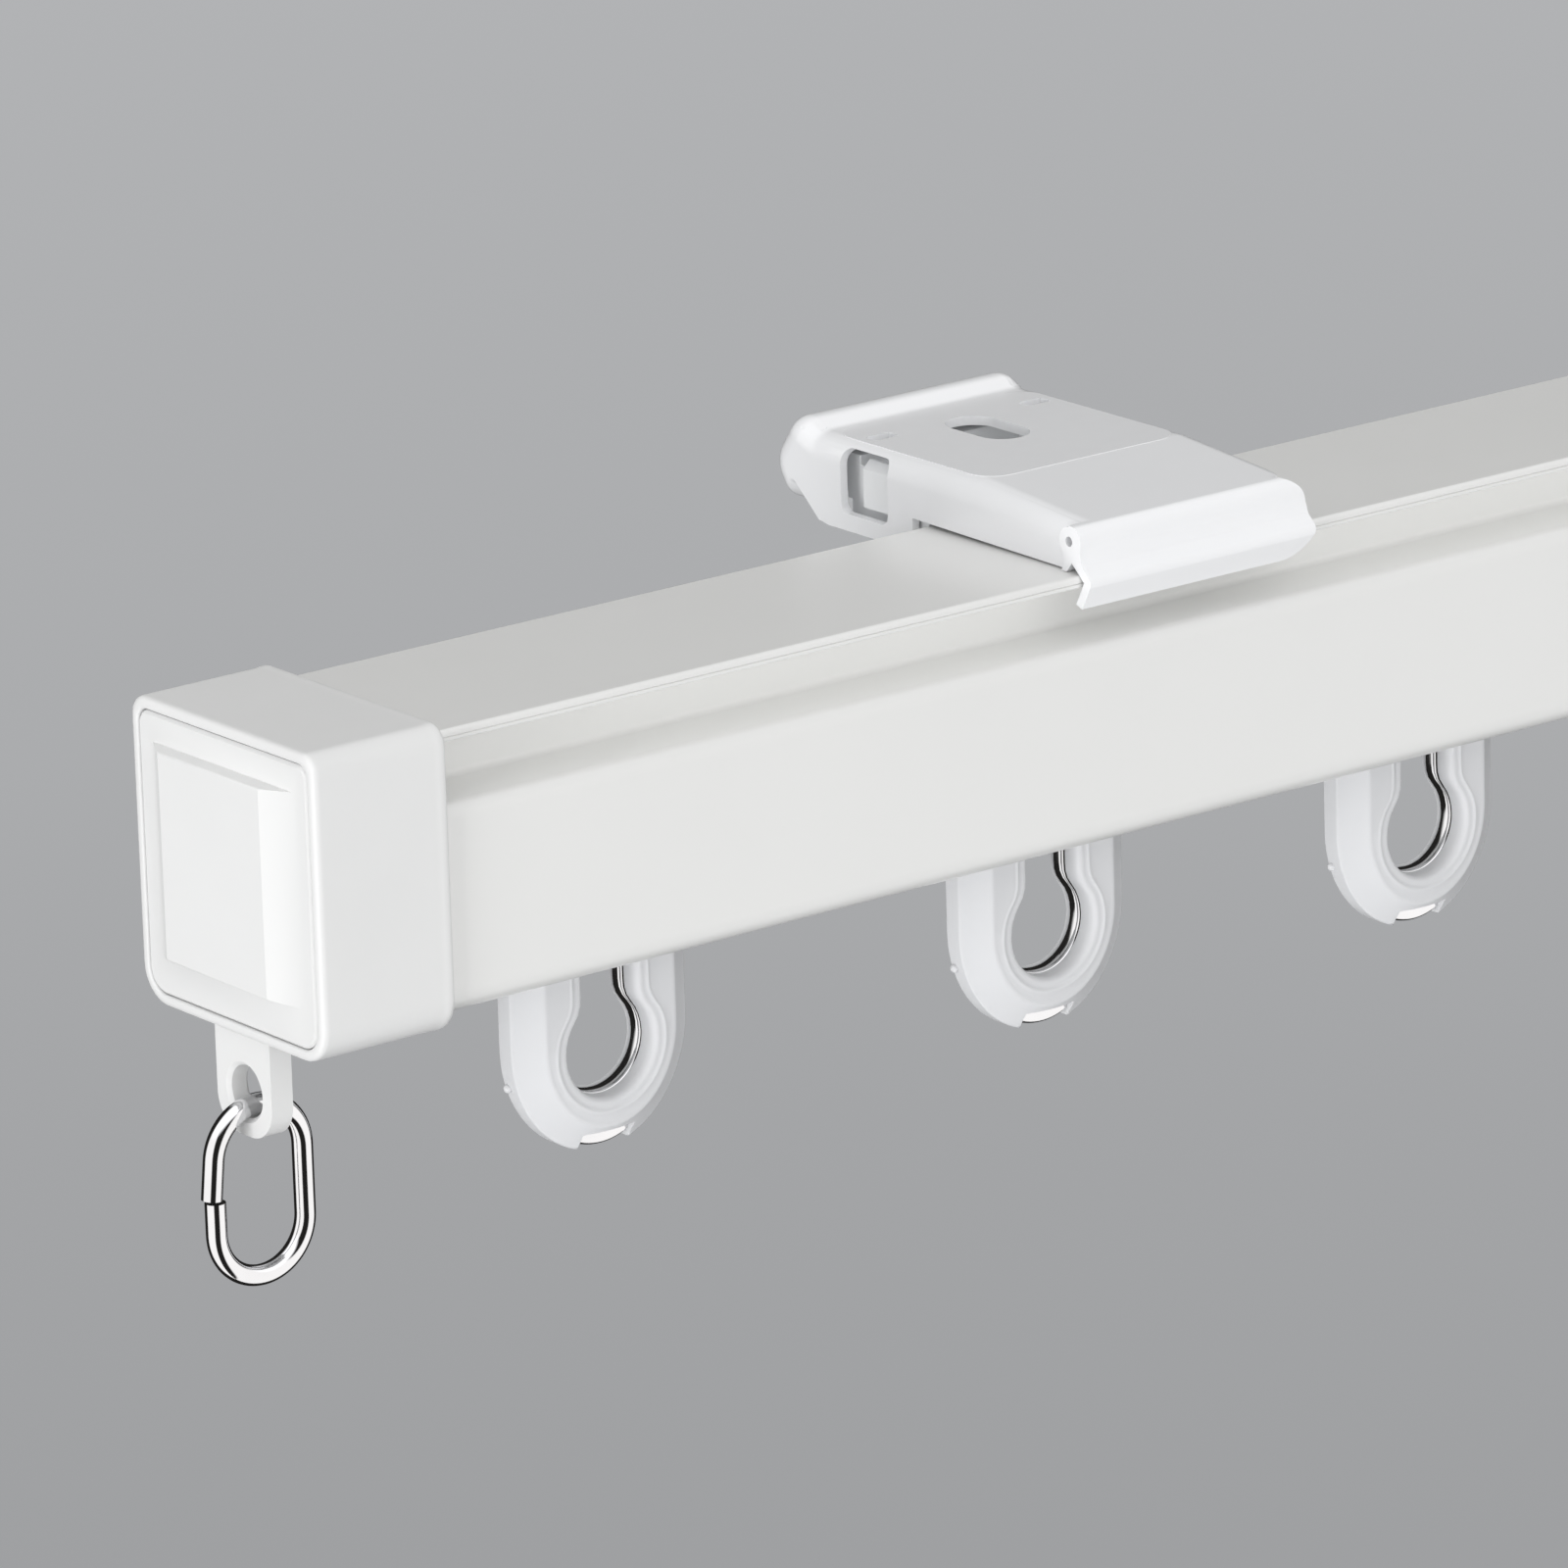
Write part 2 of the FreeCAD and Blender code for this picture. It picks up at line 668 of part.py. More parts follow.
def make_bracket():
    """Ceiling bracket of folded sheet, hooked over the rail's front lip."""
    bracket = bracket_shell().fuse(bracket_band()).cut(band_corner_cut())
    half_pad = bracket_half - pad_side_margin
    pad = rounded_plate(half_pad, rail_mid + pad_front, rail_mid + pad_rear,
                        bracket_top - bracket_sheet / 2, 0, pad_corner_radius)
    rim = edges_where(pad, lambda p: abs(p.z) < 1e-4)
    bracket = bracket.fuse(pad.makeChamfer(0.8 * pad_rise, rim))
    for side in (1, -1):
        inner = side * (bracket_inner - floor_lip_width)
        outer = side * bracket_inner
        lip = box(min(inner, outer), max(inner, outer), grip_front + floor_lip_front,
                  grip_rear, grip_bottom, grip_bottom + bracket_sheet)
        bracket = bracket.fuse(lip)
        x0 = side * lance_offset - lance_length / 2
        y0 = lance_setback - lance_width / 2
        bracket = bracket.cut(lance_hole(x0, y0)).fuse(lance_tab(x0, y0))
    return bracket.cut(screw_slot()).cut(bracket_window()).removeSplitter()


def rear_bar_front():
    """Where the latch's rear bar begins, behind the bracket's tabs."""
    return lance_setback + lance_width / 2 + latch_stop_gap


def spring_axis_z():
    """Height of the latch spring's axis, in the middle of the rear bar."""
    return floor_top + latch_floor_gap + latch_rear_bar_height / 2


def make_latch():
    """Sliding latch: two arms, two bars, and a tongue under the rail's rear lip."""
    half = latch_half
    tongue_top = lip_bottom - latch_fit
    tongue_low = tongue_top - latch_tongue_thickness
    front = back_lip + latch_block_gap
    front_end = front + latch_front_bar
    arm_end = floor_front - latch_travel - latch_floor_gap
    crown = latch_floor + latch_arm_height
    frame = box(-half, half, front, arm_end, latch_floor, crown)
    rims = edges_where(frame, lambda p: abs(abs(p.x) - half) + abs(p.z - crown) < 1e-4)
    frame = frame.makeChamfer(latch_arm_bevel, rims)
    inner = half - latch_arm_width
    frame = frame.cut(box(-inner, inner, front_end, arm_end + latch_travel,
                          latch_floor - latch_travel, crown + latch_travel))
    low_half = half - latch_relief
    frame = frame.cut(box(-low_half, low_half, front_end, arm_end + latch_travel,
                          crown - latch_arm_drop, crown + latch_travel))
    relief_front = rail_mid + window_front + latch_relief_start
    for side in (1, -1):
        x0 = min(side * (half - latch_relief), side * (half + latch_relief))
        x1 = x0 + 2 * latch_relief
        frame = frame.cut(box(x0, x1, relief_front, arm_end + latch_travel,
                              latch_floor - latch_travel, crown + latch_travel))
        frame = frame.cut(box(x0, x1, front_end, arm_end + latch_travel,
                              latch_floor - latch_travel, latch_floor + latch_relief_height))
    tongue = box(-latch_tongue_width / 2, latch_tongue_width / 2,
                 back_lip - latch_tongue_grip, front_end, tongue_low, tongue_top)
    nose = edges_along_x(tongue, [(back_lip - latch_tongue_grip, tongue_top)])
    latch = tongue.makeChamfer(latch_tongue_thickness / 2, nose).fuse(frame)
    bar_low = floor_top + latch_floor_gap
    bar_back = rear_bar_front() + latch_rear_bar
    latch = latch.fuse(box(-low_half, low_half, rear_bar_front(), bar_back, bar_low,
                           bar_low + latch_rear_bar_height))
    peg = cylinder(latch_peg_radius, latch_peg_length, Vec(0, bar_back, spring_axis_z()),
                   Vec(0, 1, 0))
    return latch.fuse(peg).removeSplitter()


def make_spring():
    """Coil spring between the latch's rear bar and the bracket's rear wall."""
    start = rear_bar_front() + latch_rear_bar + spring_wire / 2
    end = bracket_back - bracket_sheet - spring_end_gap - spring_wire / 2
    length = end - start
    helix = Part.makeHelix(length / spring_turns, length, spring_radius)
    section = Part.Wire(Part.makeCircle(spring_wire / 2, Vec(spring_radius, 0, 0),
                                        Vec(0, 1, 0)))
    coil = Part.Wire(helix.Edges).makePipeShell([section], True, True)
    coil.rotate(Vec(0, 0, 0), Vec(1, 0, 0), -90)
    coil.translate(Vec(0, start, spring_axis_z()))
    return coil


def eye_wire(half_width, half_depth, top, y):
    """Outline of the runner's eye: half an ellipse below, straight sides above."""
    low = Vec(0, y, eye_z - half_depth)
    ellipse = Part.Ellipse(low, Vec(half_width, y, eye_z), Vec(0, y, eye_z))
    arc = Part.ArcOfEllipse(ellipse, -math.pi / 2, math.pi / 2).toShape()
    first = arc.Vertexes[0].Point
    last = arc.Vertexes[-1].Point
    high_last = Vec(last.x, y, top)
    high_first = Vec(first.x, y, top)
    return Part.Wire([arc, Part.LineSegment(last, high_last).toShape(),
                      Part.LineSegment(high_last, high_first).toShape(),
                      Part.LineSegment(high_first, first).toShape()])


def eye_plate(half_width, half_depth, top, y0, y1):
    """A flat plate with the eye's outline."""
    face = Part.Face(eye_wire(half_width, half_depth, top, y0))
    return face.extrude(Vec(0, y1 - y0, 0))


def through_y(x0, x1, z0, z1):
    """A cutter through the runner's whole thickness."""
    return box(x0, x1, rail_mid - runner_thickness, rail_mid + runner_thickness, z0, z1)


def round_through_y(radius, z):
    """A round cutter through the runner's whole thickness."""
    return cylinder(radius, 2 * runner_thickness, Vec(0, rail_mid - runner_thickness, z),
                    Vec(0, 1, 0))


def keyhole(radius, neck, arch_z):
    """The eye's hole: round below, narrowing in a soft curve to an arched neck."""
    hole = round_through_y(radius, eye_hole_z)
    hole = hole.fuse(through_y(-neck, neck, eye_hole_z, arch_z))
    hole = hole.fuse(round_through_y(neck, arch_z)).removeSplitter()
    rise = math.sqrt(radius ** 2 - neck ** 2)
    corners = edges_where(hole, lambda p: abs(abs(p.x) - neck) < 1e-4
                          and abs(p.z - eye_hole_z - rise) < 1e-4)
    return hole.makeFillet(eye_shoulder_radius, corners)


def make_core():
    """Steel core of the runner: the worn edge of the eye, and the axle's seat."""
    y0 = rail_mid + core_setback - core_thickness / 2
    y1 = rail_mid + core_setback + core_thickness / 2
    core = eye_plate(core_half_width, core_half_depth, eye_top - core_cover, y0, y1)
    core = core.fuse(box(-core_head_half_width, core_head_half_width, y0, y1,
                         eye_top - 2 * core_cover, axle_z + head_above_axle - core_cover))
    neck = core_neck_width / 2
    arch_z = axle_z - eye_hole_top_gap - core_arch_cover - neck
    core = core.cut(keyhole(core_hole_radius, neck, arch_z))
    return core.cut(round_through_y(axle_radius + axle_fit, axle_z)).removeSplitter()


def make_runner_body(core):
    """Moulded runner: eye flange, tapered front, head and axle bosses round the core."""
    front = rail_mid - runner_thickness / 2
    back = rail_mid + runner_thickness / 2
    flange_front = back - eye_flange_thickness
    body = eye_plate(eye_flange_half_width, eye_flange_half_depth, eye_top,
                     flange_front, back)
    taper = [eye_wire(eye_flange_half_width - eye_flange_step,
                      eye_flange_half_depth - eye_flange_step, eye_top, flange_front),
             eye_wire(eye_front_half_width, eye_front_half_depth, eye_top, front)]
    neck = eye_hole_top_width / 2
    opening = keyhole(eye_hole_radius, neck, axle_z - eye_hole_top_gap - neck)
    body = body.fuse(Part.makeLoft(taper, True, True)).cut(opening)
    inside = eye_hole_radius + eye_hole_rim
    for y, radius in ((front, eye_hole_flare), (back, eye_hole_rim)):
        rims = edges_where(body, lambda p: abs(p.y - y) < 1e-4 and abs(p.x) < inside
                           and eye_hole_z - inside < p.z < eye_top - 1e-3)
        body = body.makeFillet(radius, rims)
    top = axle_z + head_above_axle
    head = box(-head_half_width, head_half_width, front, back, eye_top - core_cover, top)
    shoulders = edges_where(head, lambda p: abs(abs(p.x) - head_half_width) < 1e-4
                            and abs(p.z - top) < 1e-4)
    body = body.fuse(head.makeFillet(head_corner_radius, shoulders))
    boss = wheel_inner_gap() - boss_end_gap
    body = body.fuse(cylinder(spacer_radius, 2 * boss, Vec(0, rail_mid - boss, axle_z),
                              Vec(0, 1, 0)))
    body = body.cut(round_through_y(axle_radius + axle_fit, axle_z))
    body = body.cut(through_y(-core_notch_width / 2, core_notch_width / 2,
                              eye_z - 2 * eye_flange_half_depth, eye_z - core_notch_from_eye))
    return body.cut(core).removeSplitter()


def wheel_inner_gap():
    """Distance of a wheel's inner face from the rail's middle plane."""
    return slot_width / 2 + rail_sheet + lip_side_gap


def make_axle():
    """Steel axle through the runner's head, carrying both wheels."""
    half = wheel_inner_gap() + wheel_width + axle_overhang
    axle = cylinder(axle_radius, 2 * half, Vec(0, rail_mid - half, axle_z), Vec(0, 1, 0))
    ends = edges_where(axle, lambda p: abs(abs(p.y - rail_mid) - half) < 1e-4)
    return axle.makeChamfer(axle_overhang / 2, ends)


def make_wheel(side):
    """Plastic wheel pressed on the axle, in front of or behind the runner."""
    inner = rail_mid + side * wheel_inner_gap()
    outer = inner + side * wheel_width
    start = min(inner, outer)
    wheel = cylinder(wheel_radius, wheel_width, Vec(0, start, axle_z), Vec(0, 1, 0))
    rims = edges_where(wheel, lambda p: min(abs(p.y - inner), abs(p.y - outer)) < 1e-4)
    wheel = wheel.makeFillet(wheel_rim_radius, rims)
    dish = cylinder(wheel_radius - 2 * wheel_rim_radius, wheel_hub_recess,
                    Vec(0, min(outer, outer - side * wheel_hub_recess), axle_z), Vec(0, 1, 0))
    hub = cylinder(wheel_hub_radius, 3 * wheel_width, Vec(0, start - wheel_width, axle_z),
                   Vec(0, 1, 0))
    wheel = wheel.cut(dish.cut(hub))
    return wheel.cut(cylinder(axle_radius, 3 * wheel_width,
                              Vec(0, start - wheel_width, axle_z), Vec(0, 1, 0)))


def moved_x(shape, x):
    """A copy of a piece moved along the rail."""
    copy = shape.copy()
    copy.translate(Vec(x, 0, 0))
    return copy


def runner_positions():
    """Runner places along the rail: three given ones, then an even row to its end."""
    places = [left_end + place for place in runner_places]
    last = right_end - runner_places[0]
    while places[-1] + runner_pitch < last:
        places.append(places[-1] + runner_pitch)
    return places


def all_pieces():
    """Every piece of the track, by name."""
    pieces = {"rail": make_rail()}
    ends = {"sleeve": make_sleeve(), "end_stop": make_stop(),
            "cap_screw": make_cap_screw(), "split_ring": make_ring()}
    for name, shape in ends.items():
        pieces["left_" + name] = shape
        pieces["right_" + name] = mirrored(shape, track_middle)
    for name, shape in (("bracket", make_bracket()), ("latch", make_latch()),
                        ("latch_spring", make_spring())):
        pieces["left_" + name] = shape
        pieces["right_" + name] = moved_x(shape, right_bracket)
    core = make_core()
    parts = {"": make_runner_body(core), "_core": core, "_axle": make_axle(),
             "_wheel_front": make_wheel(-1), "_wheel_back": make_wheel(1)}
    for number, x in enumerate(runner_positions(), 1):
        for suffix, shape in parts.items():
            pieces["runner_%d%s" % (number, suffix)] = moved_x(shape, x)
    return pieces


def single_solid(shape):
    """The one solid inside a result, without its wrapping."""
    return shape.Solids[0] if len(shape.Solids) == 1 else shape


os.makedirs("parts", exist_ok=True)
for name, shape in all_pieces().items():
    solid = single_solid(shape)
    solid.exportStep("parts/%s.step" % name)
    print(name, len(shape.Solids), solid.isValid(), round(solid.Volume, 2))
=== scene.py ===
# %% [markdown]
# # A ceiling curtain track
#
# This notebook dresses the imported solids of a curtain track: a white steel rail
# with an open slot below, a moulded end with a wire ring, a clip-on ceiling
# bracket, and runners with steel-lined eyes. The solids give every size. Here
# they get their finishes, and the pieces that a plain solid shows too stiffly
# are made again as finer meshes on the same spot.

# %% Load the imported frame
import bpy
import bmesh
import json
import math
from mathutils import Matrix, Vector

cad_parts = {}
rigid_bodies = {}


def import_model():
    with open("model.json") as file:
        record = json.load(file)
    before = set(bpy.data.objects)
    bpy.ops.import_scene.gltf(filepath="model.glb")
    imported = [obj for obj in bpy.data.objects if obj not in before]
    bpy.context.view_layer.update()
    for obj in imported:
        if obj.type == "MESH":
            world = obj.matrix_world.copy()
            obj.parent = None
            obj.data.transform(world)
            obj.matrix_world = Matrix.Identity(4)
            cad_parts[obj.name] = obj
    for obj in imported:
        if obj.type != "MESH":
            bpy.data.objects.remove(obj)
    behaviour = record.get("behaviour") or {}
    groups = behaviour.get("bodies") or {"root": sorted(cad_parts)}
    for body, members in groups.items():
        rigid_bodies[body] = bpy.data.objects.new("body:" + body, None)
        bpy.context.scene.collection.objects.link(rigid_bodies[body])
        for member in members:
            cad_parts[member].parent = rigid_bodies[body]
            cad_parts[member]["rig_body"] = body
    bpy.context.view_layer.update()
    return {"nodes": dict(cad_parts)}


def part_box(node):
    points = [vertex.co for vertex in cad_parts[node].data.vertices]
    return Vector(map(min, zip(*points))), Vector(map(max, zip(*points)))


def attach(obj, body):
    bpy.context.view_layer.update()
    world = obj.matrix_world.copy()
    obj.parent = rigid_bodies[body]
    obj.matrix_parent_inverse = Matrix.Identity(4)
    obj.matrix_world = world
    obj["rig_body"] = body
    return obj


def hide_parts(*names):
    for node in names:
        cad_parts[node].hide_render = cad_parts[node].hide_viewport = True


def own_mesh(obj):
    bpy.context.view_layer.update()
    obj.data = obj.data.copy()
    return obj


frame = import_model()
nodes = frame["nodes"]
body_of = {name: node["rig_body"] for name, node in nodes.items()}

# %% [markdown]
# ## The camera
#
# A camera can be found from a photograph when the object has straight edges in
# three directions. The rail, the end plate and the hanging lug give those, and
# a fit over all of them gives the direction, the roll and the distance. A long
# lens far away would look almost the same, so the distance is the loosest of
# these numbers.

# %% Place the camera
azimuth = math.radians(37.539)
elevation = math.radians(16.761)
roll = math.radians(-1.660)
aim = Vector((-0.038318, -0.0181, -0.021983))
distance = 0.874366
photo_pixels = 1600.0
focal_pixels = 10178.0
sensor = 36.0


def camera_axes(azimuth, elevation, roll):
    """Picture-right, picture-up and backward directions of a camera."""
    back = Vector((-math.sin(azimuth) * math.cos(elevation),
                   -math.cos(azimuth) * math.cos(elevation), math.sin(elevation)))
    right = Vector((math.cos(azimuth), -math.sin(azimuth), 0.0))
    up = back.cross(right)
    tilted_right = math.cos(roll) * right + math.sin(roll) * up
    tilted_up = -math.sin(roll) * right + math.cos(roll) * up
    return tilted_right, tilted_up, back


right, up, back = camera_axes(azimuth, elevation, roll)
lens = bpy.data.cameras.new("photo_camera")
lens.sensor_width = sensor
lens.lens = sensor * focal_pixels / photo_pixels
lens.clip_start = 0.02
lens.clip_end = 20.0
camera = bpy.data.objects.new("photo_camera", lens)
bpy.context.scene.collection.objects.link(camera)
turn = Matrix((right, up, back)).transposed().to_4x4()
camera.matrix_world = Matrix.Translation(aim + distance * back) @ turn
bpy.context.scene.camera = camera
print("lens", round(lens.lens, 1), "camera at", [round(c, 3) for c in camera.location])

# %% [markdown]
# ## Shader sums as plain Python
#
# Node trees are easier to read as sums. `Signal` wraps one socket: adding or
# multiplying two of them places the Math node for it, and `node` places any
# other kind of node. Only numbers go through Math nodes; colours go through
# Mix Color, because a Math node would turn a colour grey.

# %% Define the socket wrapper
class Signal:
    """One output socket of a node tree, usable in sums."""

    def __init__(self, tree, socket):
        self.tree = tree
        self.socket = socket

    def node(self, kind, settings, inputs, output=0):
        """Place a node: its settings first, then the values or links of its sockets."""
        made = self.tree.nodes.new(kind)
        for name, value in settings.items():
            if name == "stops":
                while len(made.color_ramp.elements) < len(value):
                    made.color_ramp.elements.new(1.0)
                for element, (position, colour) in zip(made.color_ramp.elements, value):
                    element.position = position
                    element.color = colour
            else:
                setattr(made, name, value)
        for name, value in inputs.items():
            if isinstance(value, Signal):
                self.tree.links.new(value.socket, made.inputs[name])
            else:
                made.inputs[name].default_value = value
        return Signal(self.tree, made.outputs[output])

    def sum_node(self, operation, first, second):
        return self.node("ShaderNodeMath", {"operation": operation}, {0: first, 1: second})

    def __add__(self, other):
        return self.sum_node("ADD", self, other)

    def __radd__(self, other):
        return self.sum_node("ADD", other, self)

    def __sub__(self, other):
        return self.sum_node("SUBTRACT", self, other)

    def __rsub__(self, other):
        return self.sum_node("SUBTRACT", other, self)

    def __mul__(self, other):
        return self.sum_node("MULTIPLY", self, other)

    def __rmul__(self, other):
        return self.sum_node("MULTIPLY", other, self)


print("Signal ready")

# %% [markdown]
# ## Small steps of a finish
#
# Every finish here is built from the same few steps: soft noise, a colour
# between two shades, a fade from one place to another, and a shallow bump. The
# noise reads the object's own coordinates, so that a pattern stays on a piece
# that moves.

# %% Define the finish helpers
def new_finish(name):
    """A material with its surface shader, and the object's own coordinates."""
    material = bpy.data.materials.new(name)
    material.use_nodes = True
    tree = material.node_tree
    shader = tree.nodes["Principled BSDF"]
    place = tree.nodes.new("ShaderNodeTexCoord")
    return material, shader, Signal(tree, place.outputs["Object"])


def noise(place, scale, detail=3.0, stretch=(1.0, 1.0, 1.0)):
    """Soft random values; a stretch draws them out along an axis."""
    mapped = place.node("ShaderNodeMapping", {}, {"Vector": place, "Scale": stretch})
    return mapped.node("ShaderNodeTexNoise", {}, {"Vector": mapped, "Scale": scale,
                                                  "Detail": detail})


def tint(mask, dark, light):
    """A colour between two shades, chosen by a mask."""
    return mask.node("ShaderNodeMix", {"data_type": "RGBA"},
                     {0: mask, 6: (*dark, 1.0), 7: (*light, 1.0)}, output=2)


def fade(signal, start, end):
    """0 where a signal is at start or before it, 1 at end or past it."""
    return signal.node("ShaderNodeMapRange", {}, {"Value": signal, "From Min": start,
                                                  "From Max": end})


def along(place, axis):
    """One coordinate of a place: 0 for X, 1 for Y, 2 for Z."""
    return place.node("ShaderNodeSeparateXYZ", {}, {"Vector": place}, output=axis)


def relief(height, strength, depth):
    """A bump from a height signal, with its depth in metres."""
    return height.node("ShaderNodeBump", {}, {"Strength": strength, "Distance": depth,
                                              "Height": height})


def feed(shader, signal, socket):
    """Link a signal to one socket of the surface shader."""
    signal.tree.links.new(signal.socket, shader.inputs[socket])


print("finish helpers ready")

# %% [markdown]
# ## Painted steel
#
# The rail and the bracket are sheet steel under a baked white paint. Such paint
# is never quite even: it has a fine orange-peel skin, and on the rail faint
# draw lines run along its length from the forming rolls. The two side grooves
# get a lighter paint colour than the outer faces: painted light, standing in for
# the light that the groove walls throw on each other. The bracket's paint is
# cooler and glossier than the rail's.

# %% Find the rail's grooves
rail_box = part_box("rail")
groove_middle = (rail_box[0][1] + rail_box[1][1]) / 2
groove_top = rail_box[1][2] - 0.0011
groove_outer, groove_inner = 0.0121, 0.0108
groove_fade = 0.0014
groove_foot, groove_foot_fade = 0.0058, 0.0004


def groove_light_mask(place):
    """Where the painted groove light goes: 1 inside the rail's two side grooves, 0 on its outer
    faces.
    """
    side = along(place, 1)
    across = side.sum_node("ABSOLUTE", side - groove_middle, 0.0)
    up = along(place, 2)
    inside = fade(across, groove_outer, groove_inner)
    below = fade(up, groove_top, groove_top - groove_fade)
    above = fade(up, groove_top - groove_foot, groove_top - groove_foot + groove_foot_fade)
    return inside * below * above


print("groove top", round(groove_top, 5))

# %% [markdown]
# ## The paint itself
#
# Paint is a coloured base under a thin clear coat. The roughness and the bump
# both come from the same peel, so that the gloss breaks where the skin rises.

# %% Make the two paints
def paint(name, dark, light, painted_groove_light, gloss, coat, peel_depth):
    """Baked paint with orange peel, faint lines along X and painted light in the grooves."""
    material, shader, place = new_finish(name)
    shade = tint(noise(place, 60.0), dark, light)
    # Painted light: the grooves get a lighter colour than the outer faces, for the light their
    # walls throw on each other.
    if painted_groove_light is not None:
        shade = shade.node("ShaderNodeMix", {"data_type": "RGBA"},
                           {0: groove_light_mask(place), 6: shade, 7: (*painted_groove_light, 1.0)}, output=2)
    feed(shader, shade, "Base Color")
    peel = noise(place, 420.0, detail=1.0)
    lines = noise(place, 500.0, detail=2.0, stretch=(0.01, 1.0, 1.0))
    feed(shader, gloss + 0.06 * peel, "Roughness")
    feed(shader, relief(peel + 0.3 * lines, 0.12, peel_depth), "Normal")
    shader.inputs["Coat Weight"].default_value = coat
    shader.inputs["Coat Roughness"].default_value = 0.12
    shader.inputs["IOR"].default_value = 1.45
    return material


# The rail's groove colour is painted light, lighter than its outer faces.
rail_paint = paint("rail_paint", dark=(0.775, 0.775, 0.765), light=(0.795, 0.795, 0.785),
                   painted_groove_light=(0.97, 0.97, 0.955), gloss=0.30, coat=0.15, peel_depth=0.00003)
bracket_paint = paint("bracket_paint", dark=(0.88, 0.885, 0.90), light=(0.905, 0.91, 0.925),
                      painted_groove_light=None, gloss=0.22, coat=0.3, peel_depth=0.00002)
print("paints", rail_paint.name, bracket_paint.name)

# %% [markdown]
# ## Moulded plastic
#
# The sleeve and the stop are opaque white plastic with a fine sparked skin. The
# runners are natural, unfilled plastic: light goes a little way into it, so
# their thin edges look softer and greyer than the paint beside them, and they
# mirror less at a low angle.

# %% Make the plastics
def plastic(name, dark, light, gloss, depth, glow, specular=0.5):
    """Moulded plastic with a fine skin and slow changes of shade."""
    material, shader, place = new_finish(name)
    feed(shader, tint(noise(place, 90.0), dark, light), "Base Color")
    skin = noise(place, 1600.0, detail=2.0)
    feed(shader, gloss + 0.12 * skin, "Roughness")
    feed(shader, relief(skin, 0.3, depth), "Normal")
    shader.inputs["Subsurface Weight"].default_value = glow
    shader.inputs["Subsurface Radius"].default_value = (1.0, 1.0, 1.0)
    shader.inputs["Subsurface Scale"].default_value = 0.0012
    shader.inputs["Specular IOR Level"].default_value = specular
    return material


end_plastic = plastic("end_plastic", dark=(0.74, 0.742, 0.74), light=(0.77, 0.772, 0.77),
                      gloss=0.34, depth=0.00002, glow=0.0)
runner_plastic = plastic("runner_plastic", dark=(0.69, 0.695, 0.71), light=(0.73, 0.735, 0.75),
                         gloss=0.26, depth=0.00001, glow=0.2, specular=0.15)
wheel_plastic = plastic("wheel_plastic", dark=(0.66, 0.67, 0.68), light=(0.73, 0.74, 0.75),
                        gloss=0.34, depth=0.00003, glow=0.1)
latch_plastic = plastic("latch_plastic", dark=(0.78, 0.79, 0.80), light=(0.84, 0.85, 0.86),
                        gloss=0.42, depth=0.00003, glow=0.0)
print("plastics", end_plastic.name, runner_plastic.name, latch_plastic.name)

# %% [markdown]
# ## Steel
#
# The rings and the cores are polished until they mirror the room, with only
# hair-fine wiping marks. Screws, springs and axles are plain drawn steel.

# %% Make the steels
def steel(name, dark, light, gloss, marks):
    """Bare steel with fine marks."""
    material, shader, place = new_finish(name)
    shader.inputs["Metallic"].default_value = 1.0
    feed(shader, tint(noise(place, 200.0), dark, light), "Base Color")
    scuff = noise(place, 1200.0, detail=4.0, stretch=(1.0, 0.15, 1.0))
    feed(shader, gloss + marks * scuff, "Roughness")
    feed(shader, relief(scuff, 0.15, 0.00001), "Normal")
    return material


polished_steel = steel("polished_steel", dark=(0.62, 0.62, 0.63), light=(0.72, 0.72, 0.73),
                       gloss=0.05, marks=0.08)
plain_steel = steel("plain_steel", dark=(0.42, 0.42, 0.43), light=(0.55, 0.55, 0.56),
                    gloss=0.28, marks=0.2)
print("steels", polished_steel.name, plain_steel.name)

# %% [markdown]
# ## Finishes on the solids
#
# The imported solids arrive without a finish. Each gets the one of its own kind,
# also where a finer mesh takes its place later, because the axles, wheels and
# screws stay as they are. A piece's kind is the end of its name.

# %% Give every carried-over solid its finish
finish_by_ending = (("rail", rail_paint), ("bracket", bracket_paint), ("sleeve", end_plastic),
                    ("end_stop", end_plastic), ("latch", latch_plastic),
                    ("latch_spring", plain_steel), ("cap_screw", plain_steel),
                    ("axle", plain_steel), ("core", polished_steel),
                    ("split_ring", polished_steel), ("wheel_front", wheel_plastic),
                    ("wheel_back", wheel_plastic))


def finish_for(name):
    """The finish of a node, from the way its name ends."""
    for ending, material in finish_by_ending:
        if name.endswith(ending):
            return material
    return runner_plastic


for name, node in nodes.items():
    node.data.materials.clear()
    node.data.materials.append(finish_for(name))
print("finished", len(nodes), "nodes")

# %% [markdown]
# ## Finer meshes in place of solids
#
# A finer mesh takes a solid's place and moves with its body. Sizes below are in
# millimetres and turn into metres at the last step, so that they read as a
# maker would say them. Modifiers are always turned into plain mesh before a
# piece is handed over.

# %% Define how a piece is handed over
mm = 0.001


def plain(piece):
    """Keep what an object's modifiers make of it, as an ordinary mesh."""
    depsgraph = bpy.context.evaluated_depsgraph_get()
    mesh = bpy.data.meshes.new_from_object(piece.evaluated_get(depsgraph), depsgraph=depsgraph)
    piece.modifiers.clear()
    piece.data = mesh
    return piece


def outward(mesh):
    """Turn a mesh's faces so that they all look outward."""
    work = bmesh.new()
    work.from_mesh(mesh)
    bmesh.ops.recalc_face_normals(work, faces=work.faces)
    work.to_mesh(mesh)
    work.free()


def new_piece(name, mesh, material):
    """An object at the origin for a mesh that is already in its place."""
    piece = bpy.data.objects.new(name, mesh)
    bpy.context.scene.collection.objects.link(piece)
    mesh.materials.clear()
    mesh.materials.append(material)
    return piece


def stand_for(piece, node):
    """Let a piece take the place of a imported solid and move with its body."""
    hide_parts(node)
    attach(piece, body_of[node])


